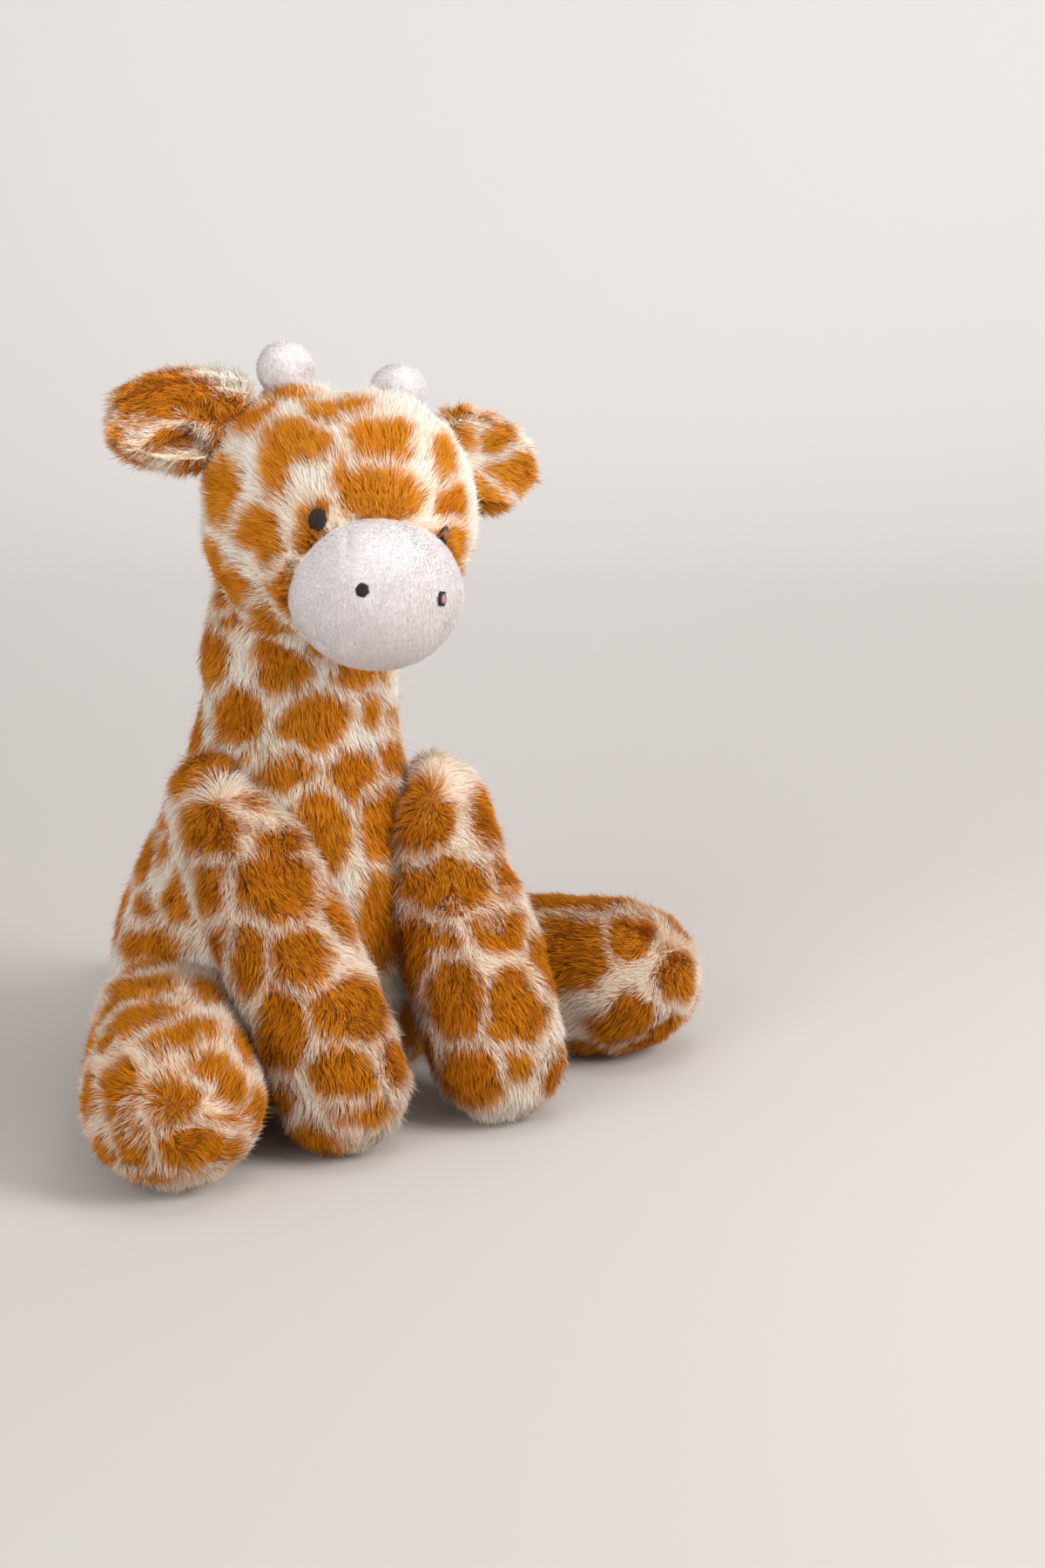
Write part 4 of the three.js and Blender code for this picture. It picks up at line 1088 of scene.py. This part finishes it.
def off_the_face(root, normal):
    keep = past_muzzle(root) > -0.6
    for centre, radius in ((EYE_RIGHT, 4.0), (EYE_LEFT, 2.8)):
        keep &= np.linalg.norm(root + normal * 2.0 - centre, axis=1) > radius
    return keep


def off_the_ball(least, holes=()):
    """Keeps the pile outside the ball of the head, and off the stitches at the holes."""
    def keep(root, normal):
        held = np.linalg.norm(root - HEAD, axis=1) > least
        for centre in holes:
            held &= np.linalg.norm(root - centre, axis=1) > 2.7
        return held

    return keep


def face_length(root):
    size = 4.2 + 4.2 * smooth_step(0.0, 17.0, past_muzzle(root))
    away = np.linalg.norm(root - EYE_RIGHT, axis=1)
    size = np.minimum(size, 3.0 + 6 * smooth_step(4.0, 12.0, away))
    away = np.linalg.norm(root - HORN_NEST, axis=1)
    return np.minimum(size, 3.2 + 6 * smooth_step(14.0, 26.0, away))


def pile(at_floor, above):
    return lambda root: np.where(root[:, 2] < FLOOR_ZONE, at_floor, above)


def beside(group, names, least=1.2, reach=3.2):
    """The share of roots kept at each vertex: none where another piece covers the surface."""
    points, faces = base[group]
    kept = np.ones(len(points))
    for name in names:
        kept *= smooth_step(least, reach, distances(tree_of(*base[name]), points, 6.0))
    under = (vertex_normals(points, faces)[:, 2] < UNDER) & (points[:, 2] < UNDER_ZONE)
    kept[under] *= UNDER_SHARE
    return kept


# The head's fur is made a little lighter (deep below zero): painted light.
fur("head_fur", "head", "head", base["head"], head_comb, face_length, 101, 1.1,
    keep=off_the_face, mask=beside("head", ["torso"], 0.4, 1.6), deep=-0.25)
body_pile, leg_pile = pile(4.0, 8.6), pile(3.6, 7.2)
fur("torso_fur", "torso", "torso", base["torso"], toward((0, 0, -1)), body_pile, 102,
    mask=beside("torso", ARMS_AND_LEGS))
# For each limb: a line along it, the swirl, the whorl, the limb beside it and the seed.
LIMBS = {
    "arm_right": ((-34, -24, 131), (-18, -113, 29), 0.4, (-47, -52, 135), "leg_right", 103),
    "arm_left": ((54, -39, 118), (56, -108, 29), 0.4, (46, -64, 132), "leg_left", 104),
    "leg_right": ((-55, -28, 36), (-106, -150, 36), 0.7, (-106, -148, 42), "arm_right", 105),
    "leg_left": ((64, 1, 36), (168, -80, 36), 0.7, (164, -80, 40), "arm_left", 106),
}
# Arms and legs get darker, more caramel fur (deep above zero, more on the legs): painted shade on the lower
# parts.
for limb, (start, end, swirl, whorl, neighbour, seed) in LIMBS.items():
    leg = limb.startswith("leg")
    length, lay, deep = (leg_pile, (58, 30), 0.45) if leg else (body_pile, (54, 26), 0.32)
    fur(f"{limb}_fur", limb, limb, base[limb], limb_comb(limb, start, end, swirl, whorl), length, seed,
        lay=lay, mask=beside(limb, ["torso", neighbour], 0.5, 2.0), rough=1.35, deep=deep)
# The ears' fur is made lighter (deep below zero): painted light on the thin ears.
for side, seed in (("right", 107), ("left", 108)):
    ear = f"ear_{side}"
    fur(f"{ear}_fur", ear, ear, base[ear], ear_comb(side), 7.8, seed, 1.2, lay=(47, 22),
        mask=beside(ear, ["head"], 0.2, 1.2), lit=0.8, fly=0.11, deep=-0.55)
tail_way = unit(raw["tail_tuft"][0].mean(axis=0) - raw["tail"][0].mean(axis=0))
fur("tail_fur", "tail", "tail", base["tail"], toward(tail_way), 7.0, 109, mask=beside("tail", ["torso"]))
fur("tail_tuft_fur", "tail_tuft", "tail", base["tail_tuft"], toward(tail_way), 15.0, 110, 1.4, lay=(26, 6))

SHORT_PILE = {"dense": 2.6, "slot": "short_pile", "stages": 2, "soft": 0.92, "rough": 0.3}
fur("muzzle_pile", "muzzle", "head", muzzle, toward((-0.35, 0, -1)), 1.7, 111, lay=(34, 34),
    keep=off_the_ball(54.5, NOSTRILS), **SHORT_PILE)
for side, seed in (("right", 112), ("left", 113)):
    fur(f"ossicone_{side}_pile", "muzzle", "head", horns[side], toward((0.1, 0, -1)), 1.8, seed, lay=(46, 46),
        keep=off_the_ball(56), **SHORT_PILE)


# Stage, lights and camera

def stage_material():
    n = Nodes("stage")
    place = n.new("SeparateXYZ")
    n.link(n.coordinates(), place.inputs[0])
    # Painted light: the floor is darker than the wall, and both get lighter towards the right, the side of the
    # key lamp.
    side = n.ramp(place.outputs["X"], -0.35, 0.55)
    floor = n.mix(side, linear(196, 191, 186), linear(206, 201, 197))
    wall = n.mix(side, linear(211, 206, 202), linear(231, 227, 224))
    colour = n.mix(n.ramp(place.outputs["Y"], 0.1, 1.1), floor, wall)
    colour = n.mix(n.math("MULTIPLY", n.noise(1.3, 1.0), 0.06), colour, linear(255, 250, 245))
    n.surface(colour, 1.0, {"Specular IOR Level": 0.0})
    return n.material


def stage_sweep():
    """A floor that curves up into a wall, square to the view."""
    back = unit(-TOWARD * np.array([1, 1, 0]))
    side = np.array([back[1], -back[0], 0])
    before, behind, bend, half, top, steps = 3000.0, 900.0, 700.0, 4000.0, 4000.0, 24
    profile = [(-before, 0.0), (behind, 0.0)]
    for step in range(1, steps + 1):
        turn = math.pi / 2 * step / steps
        profile.append((behind + bend * math.sin(turn), bend * (1 - math.cos(turn))))
    profile.append((behind + bend, top))
    points = [
        back * way + side * out + np.array([0, 0, height])
        for way, height in profile
        for out in (-half, half)
    ]
    faces = []
    for a in range(0, len(points) - 2, 2):
        faces += [(a, a + 1, a + 3), (a, a + 3, a + 2)]
    mesh = mesh_of("sweep", np.array(points), np.array(faces))
    mesh.shade_smooth()
    mesh.materials.append(stage_material())
    object_of("sweep", mesh)


stage_sweep()


def area_light(name, place, target, size, power, colour):
    data = bpy.data.lights.new(name, "AREA")
    data.shape = "DISK"
    data.size = size
    data.energy = power
    data.color = colour
    lamp = bpy.data.objects.new(name, data)
    bpy.context.scene.collection.objects.link(lamp)
    way = Vector(target) - Vector(place)
    lamp.location = place
    lamp.rotation_euler = way.to_track_quat("-Z", "Y").to_euler()


area_light("key", (1.15, -1.5, 1.2), (0, -0.05, 0.2), 1.2, 36, (1, 0.988, 0.972))
area_light("top", (0.2, -0.2, 0.92), (0.02, -0.06, 0.26), 0.4, 1.15, (1, 0.985, 0.96))
area_light("fill", (-1.8, -1.1, 1.0), (0, -0.05, 0.17), 1.6, 24, (0.99, 0.99, 1))

world = bpy.data.worlds.new("studio")
bpy.context.scene.world = world
world.use_nodes = True
background = world.node_tree.nodes["Background"].inputs
background["Color"].default_value = linear(246, 246, 248)
background["Strength"].default_value = 0.58

camera = bpy.data.cameras.new("view")
camera.sensor_fit = "VERTICAL"
camera.sensor_height = SENSOR
camera.lens = LENS_PIXELS / FRAME_HEIGHT * SENSOR
camera.clip_end = 50
viewer = bpy.data.objects.new("view", camera)
bpy.context.scene.collection.objects.link(viewer)
viewer.matrix_world = Matrix.Translation(Vector(EYE * MM)) @ Matrix(
    [[RIGHT[k], UP[k], TOWARD[k]] for k in range(3)]
).to_4x4()
bpy.context.scene.camera = viewer
bpy.context.scene.view_settings.view_transform = "Standard"
